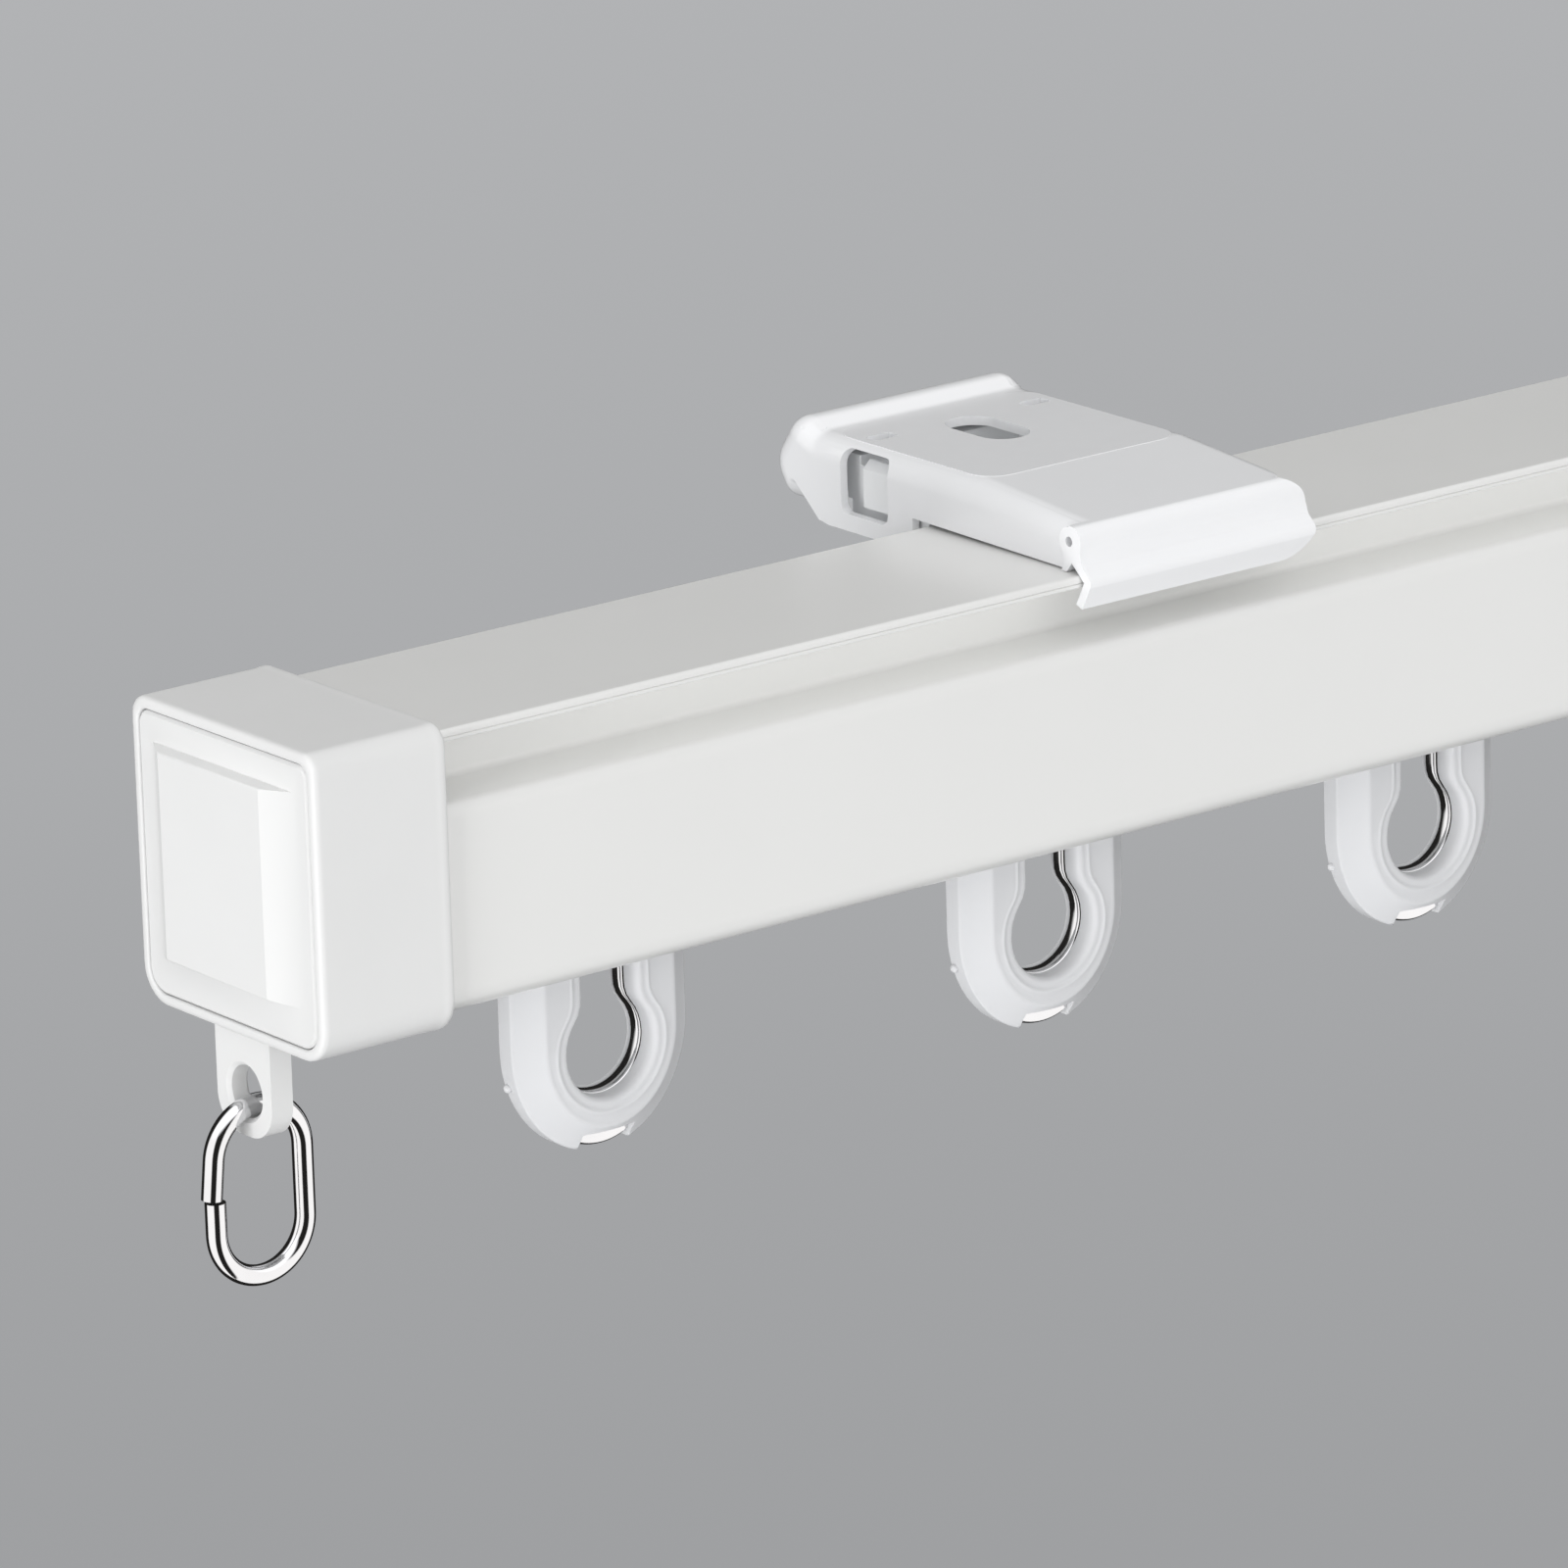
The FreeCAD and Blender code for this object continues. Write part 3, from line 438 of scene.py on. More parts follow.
def smooth(piece, angle):
    """Smooth shading, kept crisp where faces meet at more than an angle."""
    piece.data.shade_smooth()
    piece.data.set_sharp_from_angle(angle=math.radians(angle))
    weigh = piece.modifiers.new("weigh", "WEIGHTED_NORMAL")
    weigh.keep_sharp = True
    return plain(piece)


print("piece helpers ready")

# %% [markdown]
# ## Cutters
#
# A hole or a notch is quickest made by taking a plain body out of a piece. The
# cutter is thrown away as soon as it has cut.

# %% Make the cutters
def cutter(name, work):
    """An object that is used only to cut with."""
    mesh = bpy.data.meshes.new(name)
    work.to_mesh(mesh)
    work.free()
    body = bpy.data.objects.new(name, mesh)
    bpy.context.scene.collection.objects.link(body)
    return body


def cutter_box(x0, x1, y0, y1, z0, z1):
    """A plain box between two corners."""
    work = bmesh.new()
    bmesh.ops.create_cube(work, size=1.0)
    for vertex in work.verts:
        share = vertex.co + Vector((0.5, 0.5, 0.5))
        vertex.co = Vector((x0 + share.x * (x1 - x0), y0 + share.y * (y1 - y0),
                            z0 + share.z * (z1 - z0))) * mm
    return cutter("box_cutter", work)


def cutter_rod(x0, x1, y, z, radius):
    """A round bar along X."""
    work = bmesh.new()
    middle = Matrix.Translation(Vector(((x0 + x1) / 2, y, z)) * mm)
    lying = Matrix.Rotation(math.pi / 2, 4, "Y")
    bmesh.ops.create_cone(work, cap_ends=True, segments=32, radius1=radius * mm,
                          radius2=radius * mm, depth=(x1 - x0) * mm, matrix=middle @ lying)
    return cutter("rod_cutter", work)


def cut_with(piece, body):
    """Take a cutter's shape out of a piece."""
    carve = piece.modifiers.new("carve", "BOOLEAN")
    carve.operation = "DIFFERENCE"
    carve.solver = "EXACT"
    carve.object = body
    plain(piece)
    bpy.data.objects.remove(body)


print("cutters ready")

# %% [markdown]
# ## Softened edges
#
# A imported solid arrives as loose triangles. A copy of it is merged first; then
# its sharp edges can be softened, because a moulded or folded edge is never
# truly sharp and its thin highlight is most of what the eye reads.

# %% Soften a solid's edges
sharp_from = 50


def merged_copy(node):
    """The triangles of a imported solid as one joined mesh."""
    work = bmesh.new()
    work.from_mesh(nodes[node].data)
    bmesh.ops.remove_doubles(work, verts=work.verts, dist=1e-6)
    return work


def softened(node, name, width, material, reshape=None, cutters=()):
    """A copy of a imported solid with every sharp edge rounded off."""
    work = merged_copy(node)
    bmesh.ops.dissolve_limit(work, angle_limit=math.radians(0.6), use_dissolve_boundaries=False,
                             verts=work.verts, edges=work.edges, delimit=set())
    if reshape is not None:
        for vertex in work.verts:
            vertex.co = reshape(vertex.co)
    mesh = bpy.data.meshes.new(name)
    work.to_mesh(mesh)
    work.free()
    piece = new_piece(name, mesh, material)
    for body in cutters:
        cut_with(piece, body)
    bevel = piece.modifiers.new("bevel", "BEVEL")
    bevel.width = width * mm
    bevel.segments = 3
    bevel.limit_method = "ANGLE"
    bevel.angle_limit = math.radians(35)
    bevel.miter_outer = "MITER_ARC"
    smooth(plain(piece), sharp_from)
    stand_for(piece, node)
    return piece


print("edges over", sharp_from, "degrees stay crisp")

# %% [markdown]
# ## Outlines and skins
#
# Most pieces here are an outline drawn along a path. An outline needs only its
# corners and their radii. A skin joins a row of rings of points, either end to
# end into a closed tube or with a flat cap at each end.

# %% Define outlines and skins
def arc(centre, radius, start, end, count):
    """Points on an arc, its angles in degrees, both ends included."""
    points = []
    for i in range(count + 1):
        angle = math.radians(start + (end - start) * i / count)
        points.append((centre[0] + radius * math.cos(angle),
                       centre[1] + radius * math.sin(angle)))
    return points


def rounded(corners, count=6):
    """A closed outline from corners with radii: each corner becomes an arc."""
    outline = []
    for i, (point, radius) in enumerate(corners):
        here = Vector(point)
        before = (Vector(corners[i - 1][0]) - here).normalized()
        after = (Vector(corners[(i + 1) % len(corners)][0]) - here).normalized()
        half = math.acos(max(-1.0, min(1.0, before.dot(after)))) / 2
        if radius <= 0 or half > 1.55:
            outline.append(tuple(here))
            continue
        centre = here + (before + after).normalized() * (radius / math.sin(half))
        first = here + before * (radius / math.tan(half)) - centre
        last = here + after * (radius / math.tan(half)) - centre
        turn = first.angle_signed(last)
        for k in range(count + 1):
            spin = Matrix.Rotation(-turn * k / count, 2)
            outline.append(tuple(centre + spin @ first))
    return outline


def loft(name, rings, closed=True):
    """A skin over rings of points, joined end to end or capped at both ends."""
    count = len(rings[0])
    points = [point for ring in rings for point in ring]
    faces = []
    for i in range(len(rings) if closed else len(rings) - 1):
        j = (i + 1) % len(rings)
        for k in range(count):
            n = (k + 1) % count
            faces.append((i * count + k, i * count + n, j * count + n, j * count + k))
    if not closed:
        faces.append(tuple(range(count)))
        faces.append(tuple(range((len(rings) - 1) * count, len(rings) * count)))
    mesh = bpy.data.meshes.new(name)
    mesh.from_pydata([Vector(point) * mm for point in points], [], faces)
    outward(mesh)
    return mesh


print("outline of a unit square", len(rounded([((0, 0), 0.1), ((1, 0), 0.1),
                                               ((1, 1), 0.1), ((0, 1), 0.1)])), "points")

# %% [markdown]
# ## Places and sizes
#
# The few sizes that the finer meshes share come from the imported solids
# themselves, so that each piece lands where its solid was.

# %% Read the shared sizes
stop_plate = 3.0
eye_drop = 9.5
rail_low, rail_high = [Vector(corner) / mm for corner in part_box("rail")]
rail_mid = (rail_low.y + rail_high.y) / 2
rail_top = rail_high.z
rail_bottom = rail_low.z
left_end = rail_low.x - stop_plate
right_end = rail_high.x + stop_plate
eye_z = rail_bottom - eye_drop
print("rail", [round(c, 2) for c in rail_low], [round(c, 2) for c in rail_high])

# %% [markdown]
# ## Node groups for paths and copies
#
# The rail is one section drawn along a straight line, and a split ring is a
# round section bent along an oval. Both come from the same small node group:
# the object's own edges are the path and another object holds the section. A
# second group sets a finished runner at each of an object's points.

# %% Define how a group starts and ends
def group_with(name, sockets):
    """An empty geometry group with named inputs."""
    tree = bpy.data.node_groups.new(name, "GeometryNodeTree")
    tree.interface.new_socket("Geometry", in_out="INPUT", socket_type="NodeSocketGeometry")
    for label, kind in sockets:
        tree.interface.new_socket(label, in_out="INPUT", socket_type=kind)
    tree.interface.new_socket("Geometry", in_out="OUTPUT", socket_type="NodeSocketGeometry")
    given = tree.nodes.new("NodeGroupInput")
    return tree, {socket.name: Signal(tree, socket) for socket in given.outputs if socket.name}


def close_group(tree, geometry, finish):
    """End a group with real geometry and its material."""
    real = geometry.node("GeometryNodeRealizeInstances", {}, {"Geometry": geometry})
    done = real.node("GeometryNodeSetMaterial", {}, {"Geometry": real, "Material": finish})
    end = tree.nodes.new("NodeGroupOutput")
    tree.links.new(done.socket, end.inputs["Geometry"])


print("group helpers ready")

# %% [markdown]
# ## The two groups
#
# A curve keeps its section from rolling only when it is told which way is up.
# The straight rail is told so. The ring turns through a full circle, where an
# upright section would flip, so it is left free.

# %% Build the two groups
def sweep_group(name, upright):
    """Sweep a section along the object's own edges, kept upright or free to turn."""
    tree, given = group_with(name, (("Section", "NodeSocketObject"),
                                    ("Finish", "NodeSocketMaterial")))
    own = given["Geometry"]
    path = own.node("GeometryNodeMeshToCurve", {}, {"Mesh": own})
    if upright:
        path = path.node("GeometryNodeSetCurveNormal", {"mode": "Z_UP"}, {"Curve": path})
    held = own.node("GeometryNodeObjectInfo", {}, {"Object": given["Section"]}, "Geometry")
    section = held.node("GeometryNodeMeshToCurve", {}, {"Mesh": held})
    skin = path.node("GeometryNodeCurveToMesh", {}, {"Curve": path, "Profile Curve": section,
                                                     "Fill Caps": True})
    close_group(tree, skin, given["Finish"])
    return tree


def place_group():
    """Set a copy of another object at each of the object's own points."""
    tree, given = group_with("place", (("Piece", "NodeSocketObject"),
                                       ("Finish", "NodeSocketMaterial")))
    own = given["Geometry"]
    held = own.node("GeometryNodeObjectInfo", {"transform_space": "ORIGINAL"},
                    {"Object": given["Piece"]}, "Geometry")
    copies = own.node("GeometryNodeInstanceOnPoints", {}, {"Points": own, "Instance": held})
    close_group(tree, copies, given["Finish"])
    return tree


sweep_upright = sweep_group("sweep_upright", True)
sweep_free = sweep_group("sweep_free", False)
set_copies = place_group()
print("groups", sweep_upright.name, sweep_free.name, set_copies.name)

# %% [markdown]
# ## Running a group
#
# A group's inputs are set by their identifiers, and its result is kept as plain
# mesh, without its modifiers.

# %% Run a group on edges
def run_group(piece, tree, values):
    """Set a group's named inputs, run it, and keep its result as a plain mesh."""
    modifier = piece.modifiers.new(tree.name, "NODES")
    modifier.node_group = tree
    for item in tree.interface.items_tree:
        if item.in_out == "INPUT" and item.name in values:
            modifier[item.identifier] = values[item.name]
    plain(piece)
    outward(piece.data)
    return piece


def edge_object(name, points, closed):
    """A helper object of plain edges through some points."""
    mesh = bpy.data.meshes.new(name)
    edges = [(i, i + 1) for i in range(len(points) - 1)]
    if closed:
        edges.append((len(points) - 1, 0))
    mesh.from_pydata([Vector(point) * mm for point in points], edges, [])
    helper = bpy.data.objects.new(name, mesh)
    bpy.context.scene.collection.objects.link(helper)
    return helper


print("groups can run")

# %% [markdown]
# ## The rail
#
# The section has the folds of the sheet: a hemmed lip with the thin seam of
# its second layer, a groove, a soft shoulder, a wider bend at the foot and two
# short upturned lips at the slot.

# %% Sweep the rail
sheet = 0.5
lip = 11.3
seam, seam_width, seam_depth = 0.64, 0.06, 0.1
hem = 1.05
groove_wall = 5.25
shoulder = 6.25
slot = 2.5
slot_lip = 2.1


def rail_half_section():
    """Half of the rail's section, sideways from its middle and up from its top."""
    side = (rail_high.y - rail_low.y) / 2
    foot = rail_bottom - rail_top
    return [((lip, 0.0), 0.45), ((lip, seam_width - seam), 0.0),
            ((lip - seam_depth, -seam), 0.0), ((lip, -seam_width - seam), 0.0),
            ((lip, -hem), 0.16), ((groove_wall, -2 * sheet), 0.6),
            ((groove_wall, -shoulder), 0.6), ((side, -shoulder), 1.3),
            ((side, foot), 2.4), ((slot, foot), 0.4), ((slot, foot + slot_lip), 0.2),
            ((slot + sheet, foot + slot_lip), 0.2), ((slot + sheet, foot + sheet), 0.1),
            ((side - sheet, foot + sheet), 1.9), ((side - sheet, -shoulder - sheet), 0.8),
            ((groove_wall - sheet, -shoulder - sheet), 0.15),
            ((groove_wall - sheet, -sheet), 0.15)]


half = rail_half_section()
corners = half + [((-point[0], point[1]), radius) for point, radius in reversed(half)]
section_holder = edge_object("rail_section", [(-y, -z, 0.0) for y, z in rounded(corners)], True)
rail_piece = edge_object("rail_skin", [(rail_low.x, rail_mid, rail_top),
                                       (rail_high.x, rail_mid, rail_top)], False)
run_group(rail_piece, sweep_upright, {"Section": section_holder, "Finish": rail_paint})
smooth(rail_piece, 40)
bpy.data.objects.remove(section_holder)
stand_for(rail_piece, "rail")
print("rail skin", len(rail_piece.data.polygons), "faces")

# %% [markdown]
# ## The end sleeves
#
# A sleeve is a skin over a row of rings: up the outside, round the open end
# and back along the inside. Its rims are rounded like moulded plastic, and the
# open end swells a little where the mould parts. Each station says how far the
# ring lies from the rail's end and how far outside the rail. Two square holes
# in the floor let the stop's lug and the screw through.

# %% Make the sleeves
sleeve_stations = ((0.0, 0.62), (0.05, 0.86), (0.16, 1.01), (0.34, 1.11), (0.6, 1.15),
                   (6.0, 1.15), (12.2, 1.15), (12.7, 1.2), (13.1, 1.22), (13.38, 1.16),
                   (13.54, 1.03), (13.6, 0.85), (13.6, 0.5), (13.52, 0.3), (13.3, 0.15),
                   (13.0, 0.1), (6.0, 0.1), (0.3, 0.1), (0.12, 0.13), (0.03, 0.2),
                   (0.0, 0.3))
sleeve_crown, sleeve_foot = 1.25, 2.2
sleeve_floor = 2.0
lug_from, lug_to, lug_half = 0.7, 3.1, 4.1
screw_from_end, screw_half = 7.5, 1.6


def sleeve_ring(x, gap):
    """One ring of the sleeve, a gap outside the rail's box."""
    y0, y1 = rail_low.y - gap, rail_high.y + gap
    z0, z1 = rail_bottom - gap, rail_top + gap
    foot = sleeve_foot + gap
    crown = sleeve_crown + gap * 0.5
    outline = rounded([((y0, z0), foot), ((y0, z1), crown), ((y1, z1), crown),
                       ((y1, z0), foot)], 8)
    return [(x, y, z) for y, z in outline]


def floor_hole(x0, x1, half_width):
    """A cutter for a square hole in the sleeve's floor."""
    return cutter_box(x0, x1, rail_mid - half_width, rail_mid + half_width,
                      rail_bottom - sleeve_floor, rail_bottom)


def make_sleeve(side, end, direction):
    """One end's sleeve, drawn inwards from the rail's end."""
    rings = [sleeve_ring(end + direction * x, gap) for x, gap in sleeve_stations]
    node = side + "_sleeve"
    piece = new_piece(node + "_skin", loft(node + "_skin", rings), end_plastic)
    lug = sorted((end + direction * lug_from, end + direction * lug_to))
    cut_with(piece, floor_hole(lug[0], lug[1], lug_half))
    screw = end + direction * screw_from_end
    cut_with(piece, floor_hole(screw - screw_half, screw + screw_half, screw_half))
    smooth(piece, 40)
    stand_for(piece, node)
    return piece


ends = (("left", left_end, 1), ("right", right_end, -1))
for side, end, direction in ends:
    piece = make_sleeve(side, end, direction)
    print(piece.name, len(piece.data.polygons), "faces")

# %% [markdown]
# ## The end stops
#
# The raised panel has a wide slope on its room side and a narrower one on its
# wall side. Its corners are moved a little to follow that, and then every edge
# of the stop, its lug and the lug's hole is rounded.

# %% Make the end stops
stop_rounding = 0.13
panel_height = 1.0
panel_to_wall, panel_from_room = 1.1, 0.4
panel_up, panel_down = 0.06, -0.2
panel_middle = (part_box("left_end_stop")[1][2] / mm + rail_bottom) / 2


def panel_shift(end, direction):
    """Move the panel's face, more the higher a point stands, to set its four slopes."""
    def moved(point):
        height = (end * mm - point.x) * direction / mm
        if height < 1e-4:
            return point
        sideways = panel_to_wall if point.y > rail_mid * mm else panel_from_room
        upward = panel_up if point.z > panel_middle * mm else panel_down
        return point + Vector((0.0, sideways, upward)) * (min(height, panel_height) * mm)
    return moved


for side, end, direction in ends:
    piece = softened(side + "_end_stop", side + "_end_stop_skin", stop_rounding, end_plastic,
                     panel_shift(end, direction))
    print(piece.name, len(piece.data.polygons), "faces")

# %% [markdown]
# ## The brackets and latches
#
# The bracket keeps the folds of its solid. Cut sheet edges get the small
# rounding that paint gives them, and the latch gets that of moulded plastic.
# The end of the front hem is opened a little, as paint leaves it, and so is the
# mouth of each of the two pressed-down tabs.

# %% Make the brackets and latches
bracket_rounding, latch_rounding = 0.1, 0.18
pad_drop = 0.16
hem_centre = (rail_low.y + 2.5, rail_top + 2.85)
hem_hole_radius, hem_hole_depth = 0.46, 20.0
tabs_from_edge = (20.6, 2.8)
mouth_from, mouth_to = Vector((1.3, 3.42, -2.4)), Vector((2.95, 4.98, 0.4))


def pressed_pad(point):
    """Set the ceiling pad's face almost level with the sheet round it."""
    if abs(point.z) < 0.03 * mm:
        return point - Vector((0.0, 0.0, pad_drop * mm))
    return point


def bracket_openings(edge):
    """Cutters for the hem's end and the tabs' mouths, from the bracket's left edge."""
    openings = [cutter_rod(edge - 1.0, edge + hem_hole_depth, *hem_centre, hem_hole_radius)]
    for tab in tabs_from_edge:
        openings.append(cutter_box(edge + tab + mouth_from.x, edge + tab + mouth_to.x,
                                   mouth_from.y, mouth_to.y, mouth_from.z, mouth_to.z))
    return openings


for side in ("left", "right"):
    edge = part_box(side + "_bracket")[0][0] / mm
    bracket = softened(side + "_bracket", side + "_bracket_skin", bracket_rounding,
                       bracket_paint, pressed_pad, bracket_openings(edge))
    latch = softened(side + "_latch", side + "_latch_skin", latch_rounding, latch_plastic)
    print(bracket.name, len(bracket.data.polygons), latch.name, len(latch.data.polygons))

# %% [markdown]
# ## The latch springs
#
# A latch that slides back shortens its spring. The wire stays a solid in the
# frame, and its copy here keeps the resting length.

# %% Make the springs
spring_travel = 3.05


def make_spring(side):
    """One latch spring, copied from its solid at its resting length."""
    node = side + "_latch_spring"
    work = merged_copy(node)
    mesh = bpy.data.meshes.new(node + "_wire")
    work.to_mesh(mesh)
    work.free()
    piece = smooth(new_piece(node + "_wire", mesh, plain_steel), sharp_from)
    stand_for(piece, node)
    low, high = [Vector(corner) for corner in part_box(node)]
    resting = (low + high) / 2
    resting.y = high.y
    length = high.y - low.y
    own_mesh(piece)
    return piece, length / mm


for side in ("left", "right"):
    spring, length = make_spring(side)
    print(spring.name, "length", round(length, 2), "pressed", round(length - spring_travel, 2))

# %% [markdown]
# ## The split rings
#
# The ring's wire runs down one side, round the bottom and up the other, over
# the top and a little outward, so that its two ends stand just apart.

# %% Sweep the rings
wire_radius = 0.925
wire_sides = 28
ring_radius = 4.6
ring_straight = 6.15
ring_from_end = 1.9
split_half = 0.15
split_lean = 0.105


def ring_path():
    """The middle line of the ring's wire, with its top near z = 0."""
    high = -ring_radius
    low = high - ring_straight
    split = (high + low) / 2
    line = [(-ring_radius, split - split_half)]
    line += arc((0.0, low), ring_radius, 180.0, 360.0, 40)
    line += arc((0.0, high), ring_radius, 0.0, 174.0, 40)
    last = line[-1]
    drop = last[1] - (split + split_half)
    line.append((last[0] - split_lean * drop, split + split_half))
    return line


wire_turns = [math.tau * i / wire_sides for i in range(wire_sides)]
wire = edge_object("wire_section", [(wire_radius * math.cos(a), wire_radius * math.sin(a), 0.0)
                                    for a in wire_turns], True)
path = ring_path()
for side, end, direction in ends:
    low, high = [Vector(corner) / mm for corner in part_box(side + "_split_ring")]
    lift = high.z - wire_radius - max(up for across, up in path)
    middle = end + direction * ring_from_end
    line = [(middle + direction * across, rail_mid, up + lift) for across, up in path]
    ring = edge_object(side + "_split_ring_wire", line, False)
    run_group(ring, sweep_free, {"Section": wire, "Finish": polished_steel})
    smooth(ring, 60)
    stand_for(ring, side + "_split_ring")
    print(ring.name, len(ring.data.polygons), "top", round(high.z, 3))
bpy.data.objects.remove(wire)

# %% [markdown]
# ## The runners
#
# A runner's eye is a section carried round a U: down one leg, round the bottom
# and up the other. Each point of the section hangs on one of four outlines,
# the hole, the front face, the foot of its taper and the flange, and is set off
# from it by a small distance. That gives the flared mouth, the raised line
# round the front face and the step to the flange in one skin.

# %% Define the outlines of the eye
leg_top = 11.3
leg_count = 16
arc_count = 52


def spread(points, count):
    """Points at even steps along a broken line, without its last one."""
    lengths = [0.0]
    for first, second in zip(points, points[1:]):
        lengths.append(lengths[-1] + math.dist(first, second))
    result = []
    for i in range(count):
        target = lengths[-1] * i / count
        k = max(j for j in range(len(lengths) - 1) if lengths[j] <= target + 1e-9)
        share = (target - lengths[k]) / (lengths[k + 1] - lengths[k])
        a, b = points[k], points[k + 1]
        result.append((a[0] + share * (b[0] - a[0]), a[1] + share * (b[1] - a[1])))
    return result


def u_outline(left_leg, half_width, half_depth, drop=0.0):
    """A leg, half an ellipse whose middle is dropped a little, and the leg mirrored."""
    leg = spread(left_leg, leg_count)
    bottom = []
    for i in range(arc_count + 1):
        angle = math.pi + math.pi * i / arc_count
        bottom.append((half_width * math.cos(angle), half_depth * math.sin(angle) - drop))
    return leg + bottom + [(-x, z) for x, z in reversed(leg)]


def straight_outline(half_width, half_depth):
    """An outer outline of the eye, with straight legs."""
    return u_outline([(-half_width, leg_top), (-half_width, 0.0)], half_width, half_depth)


def keyhole_outline(radius, neck, bend, drop):
    """The hole's outline: a circle that narrows to the neck in a soft curve."""
    centre_x = -neck - bend
    centre_z = math.sqrt((radius + bend) ** 2 - (neck + bend) ** 2)
    turn = math.degrees(math.atan2(-centre_z, -centre_x))
    leg = [(-neck, leg_top)] + arc((centre_x, centre_z - drop), bend, 0.0, turn, 10)
    start = math.degrees(math.atan2(centre_z, centre_x))
    leg += arc((0.0, -drop), radius, start, 180.0, 12)[1:]
    return u_outline(leg, radius, radius, drop)


print("stations", 2 * leg_count + arc_count + 1)

# %% [markdown]
# ## The eye's two sections
#
# The plastic's section starts in the hole, rounds its flared mouth, crosses the
# raised line and the front face, runs down the taper to the flange, and comes
# back along the rear. The steel lies behind it, flat where it faces the room
# and round at its outer edge, which shows in the notch at the bottom. Each
# entry names an outline, a distance outward from it and a depth.

# %% Set the eye's two sections
body_outlines = {"hole": keyhole_outline(radius=4.65, neck=2.9, bend=3.0, drop=0.9),
                 "front": straight_outline(7.2, 8.3), "foot": straight_outline(9.15, 10.35),
                 "outer": straight_outline(9.5, 10.7)}
mouth = (("hole", 0.0, 0.6), ("hole", 0.0, -0.9), ("hole", 0.03, -1.3),
         ("hole", 0.12, -1.58), ("hole", 0.26, -1.76), ("hole", 0.45, -1.85),
         ("hole", 0.7, -1.82))
raised_line = (("hole", 1.0, -1.8), ("hole", 1.1, -1.88), ("hole", 1.22, -1.93),
               ("hole", 1.36, -1.9), ("hole", 1.52, -1.8))
front_face = (("front", -0.45, -1.82), ("front", -0.2, -1.82), ("front", 0.0, -1.7),
              ("front", 0.18, -1.54))
taper = (("foot", -0.4, -0.5), ("foot", -0.16, -0.3), ("foot", 0.04, -0.18))
flange = (("outer", -0.2, -0.1), ("outer", -0.06, -0.02), ("outer", 0.0, 0.12),
          ("outer", 0.0, 1.66), ("outer", -0.06, 1.82), ("outer", -0.2, 1.9))
rear = (("outer", -1.4, 1.9), ("hole", 0.7, 1.9), ("hole", 0.0, 1.9), ("hole", -0.2, 1.86),
        ("hole", -0.3, 1.75), ("hole", -0.27, 1.62), ("hole", 0.0, 1.5))
body_section = mouth + raised_line + front_face + taper + flange + rear

core_outlines = {"hole": keyhole_outline(radius=4.4, neck=2.6, bend=3.0, drop=0.9),
                 "outer": straight_outline(8.2, 10.35)}
core_thickness = 1.5
core_edge_reach = 0.4
core_inside = [("hole", 0.25, 1.5), ("hole", 0.1, 1.46), ("hole", 0.02, 1.36),
               ("hole", 0.0, 1.2), ("hole", 0.0, 0.55), ("hole", 0.04, 0.36),
               ("hole", 0.12, 0.19), ("hole", 0.25, 0.06), ("hole", 0.42, 0.0)]
core_edge = [("outer", -core_edge_reach * (1 - math.cos(a)),
              core_thickness / 2 * (1 + math.sin(a)))
             for a in [math.radians(d) for d in range(-90, 91, 15)]]
core_section = core_inside + core_edge
print("section points", len(body_section), "and", len(core_section))

# %% [markdown]
# ## One runner's plastic and steel
#
# Seven runners are alike, so one pair of meshes is made at x = 0 and set in
# place afterwards. The eye's skin stops where the legs meet the head, and the
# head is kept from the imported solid. A notch at the bottom lets the steel show,
# and a small stub stays where the plastic entered the mould.

# %% Make one runner's plastic and steel
notch_half, notch_drop = 2.8, 8.65
stub_centre = (-9.02, rail_mid + 1.35, eye_z - 3.5)
stub_radius = 0.42
overlap = 0.05


def eye_rings(outlines, section):
    """The section at every station of the U."""
    rings = []
    for i in range(len(outlines["hole"])):
        hole = Vector(outlines["hole"][i])
        away = (Vector(outlines["outer"][i]) - hole).normalized()
        ring = []
        for outline, offset, y in section:
            at = Vector(outlines[outline][i]) + away * offset
            ring.append((at.x, rail_mid + y, eye_z + at.y))
        rings.append(ring)
    return rings


def with_head(mesh, node, x):
    """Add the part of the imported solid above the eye's legs, moved to x = 0."""
    work = merged_copy(node)
    for vertex in work.verts:
        vertex.co.x -= x * mm
    height = (eye_z + leg_top - overlap) * mm
    cut = bmesh.ops.bisect_plane(work, geom=work.verts[:] + work.edges[:] + work.faces[:],
                                 plane_co=(0, 0, height), plane_no=(0, 0, 1), clear_inner=True)
    rim = [edge for edge in cut["geom_cut"] if isinstance(edge, bmesh.types.BMEdge)]
    bmesh.ops.holes_fill(work, edges=rim)
    work.from_mesh(mesh)
    bmesh.ops.recalc_face_normals(work, faces=work.faces)
    work.to_mesh(mesh)
    work.free()


def add_stub(mesh):
    """The small stub that the mould leaves on the flange's edge."""
    work = bmesh.new()
    work.from_mesh(mesh)
    bmesh.ops.create_icosphere(work, subdivisions=2, radius=stub_radius * mm,
                               matrix=Matrix.Translation(Vector(stub_centre) * mm))
    work.to_mesh(mesh)
    work.free()


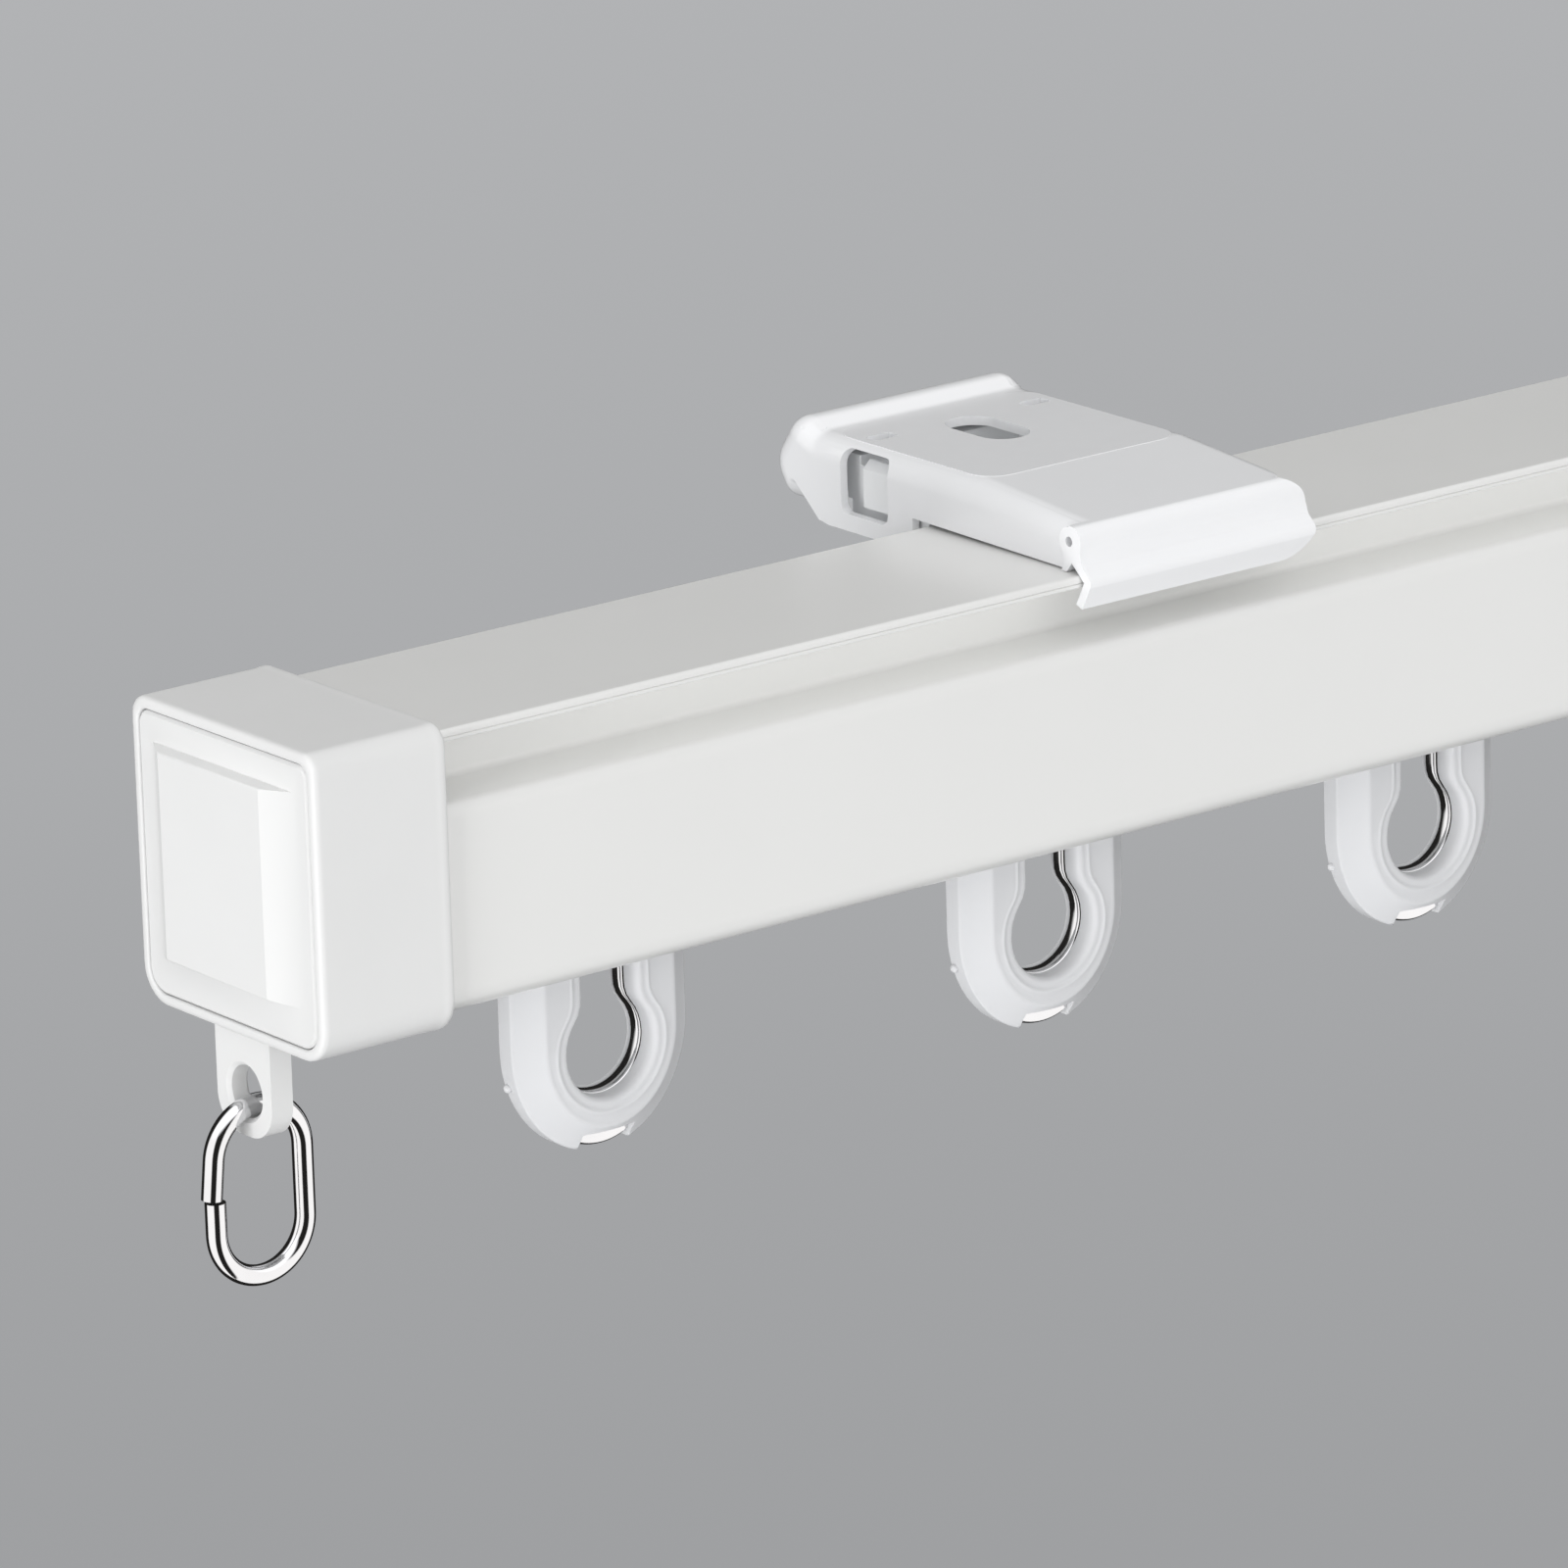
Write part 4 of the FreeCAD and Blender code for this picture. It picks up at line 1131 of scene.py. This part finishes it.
first_low, first_high = [Vector(corner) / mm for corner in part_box("runner_1")]
first_x = (first_low.x + first_high.x) / 2
body_mesh = loft("runner_master", eye_rings(body_outlines, body_section), closed=False)
body_master = new_piece("runner_master", body_mesh, runner_plastic)
cut_with(body_master, cutter_box(-notch_half, notch_half, rail_mid - 4, rail_mid + 4,
                                 eye_z - 14, eye_z - notch_drop))
add_stub(body_master.data)
with_head(body_master.data, "runner_1", first_x)
smooth(body_master, 42)
core_mesh = loft("core_master", eye_rings(core_outlines, core_section), closed=False)
with_head(core_mesh, "runner_1_core", first_x)
core_master = new_piece("core_master", core_mesh, polished_steel)
smooth(core_master, 50)
print("runner", len(body_master.data.polygons), "core", len(core_master.data.polygons))

# %% [markdown]
# ## Seven runners on the rail
#
# Each runner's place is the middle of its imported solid. A helper of a single
# point stands there, and the second node group sets the finished mesh on it.

# %% Place the seven runners
for number in range(1, 8):
    name = "runner_%d" % number
    low, high = [Vector(corner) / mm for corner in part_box(name)]
    spot = [((low.x + high.x) / 2, 0.0, 0.0)]
    body = edge_object(name + "_skin", spot, False)
    run_group(body, set_copies, {"Piece": body_master, "Finish": runner_plastic})
    stand_for(body, name)
    core = edge_object(name + "_core_skin", spot, False)
    run_group(core, set_copies, {"Piece": core_master, "Finish": polished_steel})
    stand_for(core, name + "_core")
    print(name, "at", round(spot[0][0], 2), "faces", len(body.data.polygons))
bpy.data.objects.remove(body_master)
bpy.data.objects.remove(core_master)

# %% [markdown]
# ## Backdrop
#
# The track hangs in the air, so its floor lies well below it. The floor shows a
# plain grey to the camera, darker towards the front, whatever light falls on
# it, and steel doesn't mirror it.

# %% Make the floor
floor_z = -1.2
floor_reach = 8.0
view_direction = (0.61, 0.79, 0.0)
floor_greys = ((0.0, (0.347, 0.352, 0.361, 1)), (0.18, (0.371, 0.376, 0.386, 1)),
               (0.38, (0.407, 0.413, 0.423, 1)), (1.0, (0.445, 0.451, 0.462, 1)))


def backdrop_material():
    """Plain grey floor, shown as it is to the camera."""
    material, shader, place = new_finish("floor_grey")
    tree = material.node_tree
    shader.inputs["Base Color"].default_value = (0.40, 0.405, 0.41, 1.0)
    shader.inputs["Roughness"].default_value = 0.9
    away = place.node("ShaderNodeVectorMath", {"operation": "DOT_PRODUCT"},
                      {0: place, 1: view_direction}, "Value")
    share = fade(away, 2.8, 5.8)
    grey = share.node("ShaderNodeValToRGB", {"stops": floor_greys}, {"Fac": share})
    path = Signal(tree, tree.nodes.new("ShaderNodeLightPath").outputs["Is Camera Ray"])
    plain_grey = path.node("ShaderNodeEmission", {}, {"Color": grey, "Strength": 1.0})
    surface = Signal(tree, shader.outputs[0])
    mixed = path.node("ShaderNodeMixShader", {}, {0: path, 1: surface, 2: plain_grey})
    tree.links.new(mixed.socket, tree.nodes["Material Output"].inputs["Surface"])
    return material


floor_mesh = bpy.data.meshes.new("floor")
floor_mesh.from_pydata([(x * floor_reach, y * floor_reach, floor_z)
                        for x, y in ((-1, -1), (1, -1), (1, 1), (-1, 1))], [], [(0, 1, 2, 3)])
floor = bpy.data.objects.new("floor", floor_mesh)
bpy.context.scene.collection.objects.link(floor)
floor_mesh.materials.append(backdrop_material())
floor.visible_glossy = False
print("floor at", floor_z)

# %% [markdown]
# ## The room around the track
#
# Paint and plastic want even, soft light that falls off towards the floor.
# Polished steel wants the opposite: it only looks like steel when it mirrors
# dark and bright areas side by side. So the sky has two faces. Mirror rays meet
# dark and pale walls round the track and a bright ceiling on the room side, and
# every other ray meets a soft sky, dim at the horizon and white overhead.

# %% Set the sky
wall_dark = (0.02, 0.019, 0.018, 1)
wall_pale = (1.4, 1.38, 1.36, 1)
wall_bands = ((0.0, wall_dark), (0.225, wall_dark), (0.25, wall_pale), (0.455, wall_pale),
              (0.475, wall_dark), (0.61, wall_dark), (0.63, wall_pale), (0.80, wall_pale),
              (0.83, wall_dark), (1.0, wall_dark))
ceiling_white = (1.7, 1.7, 1.72, 1.0)
sky_low = (0.335, 0.337, 0.34, 1.0)
sky_high = (1.04, 1.04, 1.035, 1.0)


def mirrored_room(place):
    """Dark and pale walls round the track, and a bright ceiling on the room side."""
    ahead = place.node("ShaderNodeVectorMath", {"operation": "DOT_PRODUCT"},
                       {0: place, 1: (-0.609, -0.793, 0.0)}, "Value")
    beside = place.node("ShaderNodeVectorMath", {"operation": "DOT_PRODUCT"},
                        {0: place, 1: (0.793, -0.609, 0.0)}, "Value")
    around = beside.sum_node("ARCTAN2", beside, ahead) * (1 / math.tau) + 0.5
    walls = around.node("ShaderNodeValToRGB", {"stops": wall_bands}, {"Fac": around})
    overhead = fade(along(place, 2), 0.38, 0.6)
    nearer = fade(along(place, 1), 0.6, 0.3)
    return overhead.node("ShaderNodeMix", {"data_type": "RGBA"},
                         {0: overhead * nearer, 6: walls, 7: ceiling_white}, output=2)


def soft_sky(place):
    """Even light, dim at the horizon and white overhead."""
    zenith = fade(along(place, 2), 0.0, 1.0)
    return zenith.node("ShaderNodeMix", {"data_type": "RGBA"},
                       {0: zenith, 6: sky_low, 7: sky_high}, output=2)


world = bpy.data.worlds.new("sky")
bpy.context.scene.world = world
world.use_nodes = True
tree = world.node_tree
tree.nodes.clear()
place = Signal(tree, tree.nodes.new("ShaderNodeTexCoord").outputs["Generated"])
glossy = Signal(tree, tree.nodes.new("ShaderNodeLightPath").outputs["Is Glossy Ray"])
colour = glossy.node("ShaderNodeMix", {"data_type": "RGBA"},
                     {0: glossy, 6: soft_sky(place), 7: mirrored_room(place)}, output=2)
light = colour.node("ShaderNodeBackground", {}, {"Color": colour, "Strength": 1.0})
world_end = tree.nodes.new("ShaderNodeOutputWorld")
tree.links.new(light.socket, world_end.inputs["Surface"])
print("sky", len(tree.nodes), "nodes")

# %% [markdown]
# ## The lamps
#
# Four large, weak lamps shape the white pieces. One beyond the track's end
# lights the end face most, one in front at eye height and one low in front lift
# the rail's face and the runners, and one behind keeps the rear readable. Steel
# doesn't mirror them, because it has the room for that.

# %% Place the lamps
aimed_at = (0.0, -0.018, -0.02)
lamps = (("end_lamp", (-1.6, -0.34, -0.3), 0.9, 17.0),
         ("front_lamp", (-0.38, -1.35, 0.36), 1.2, 5.2),
         ("low_lamp", (-0.05, -1.4, -0.6), 0.9, 3.5),
         ("back_lamp", (0.7, 1.5, -0.35), 1.2, 9.0))


def lamp(name, place, target, size, power):
    """A large square lamp that looks at a point."""
    data = bpy.data.lights.new(name, "AREA")
    data.size = size
    data.energy = power
    lamp_object = bpy.data.objects.new(name, data)
    bpy.context.scene.collection.objects.link(lamp_object)
    direction = Vector(target) - Vector(place)
    lamp_object.matrix_world = (Matrix.Translation(Vector(place))
                                @ direction.to_track_quat("-Z", "Y").to_matrix().to_4x4())
    lamp_object.visible_glossy = False
    return lamp_object


for name, spot, size, power in lamps:
    lamp(name, spot, aimed_at, size, power)
bpy.context.scene.view_settings.view_transform = "Standard"
print("lamps", len(lamps))
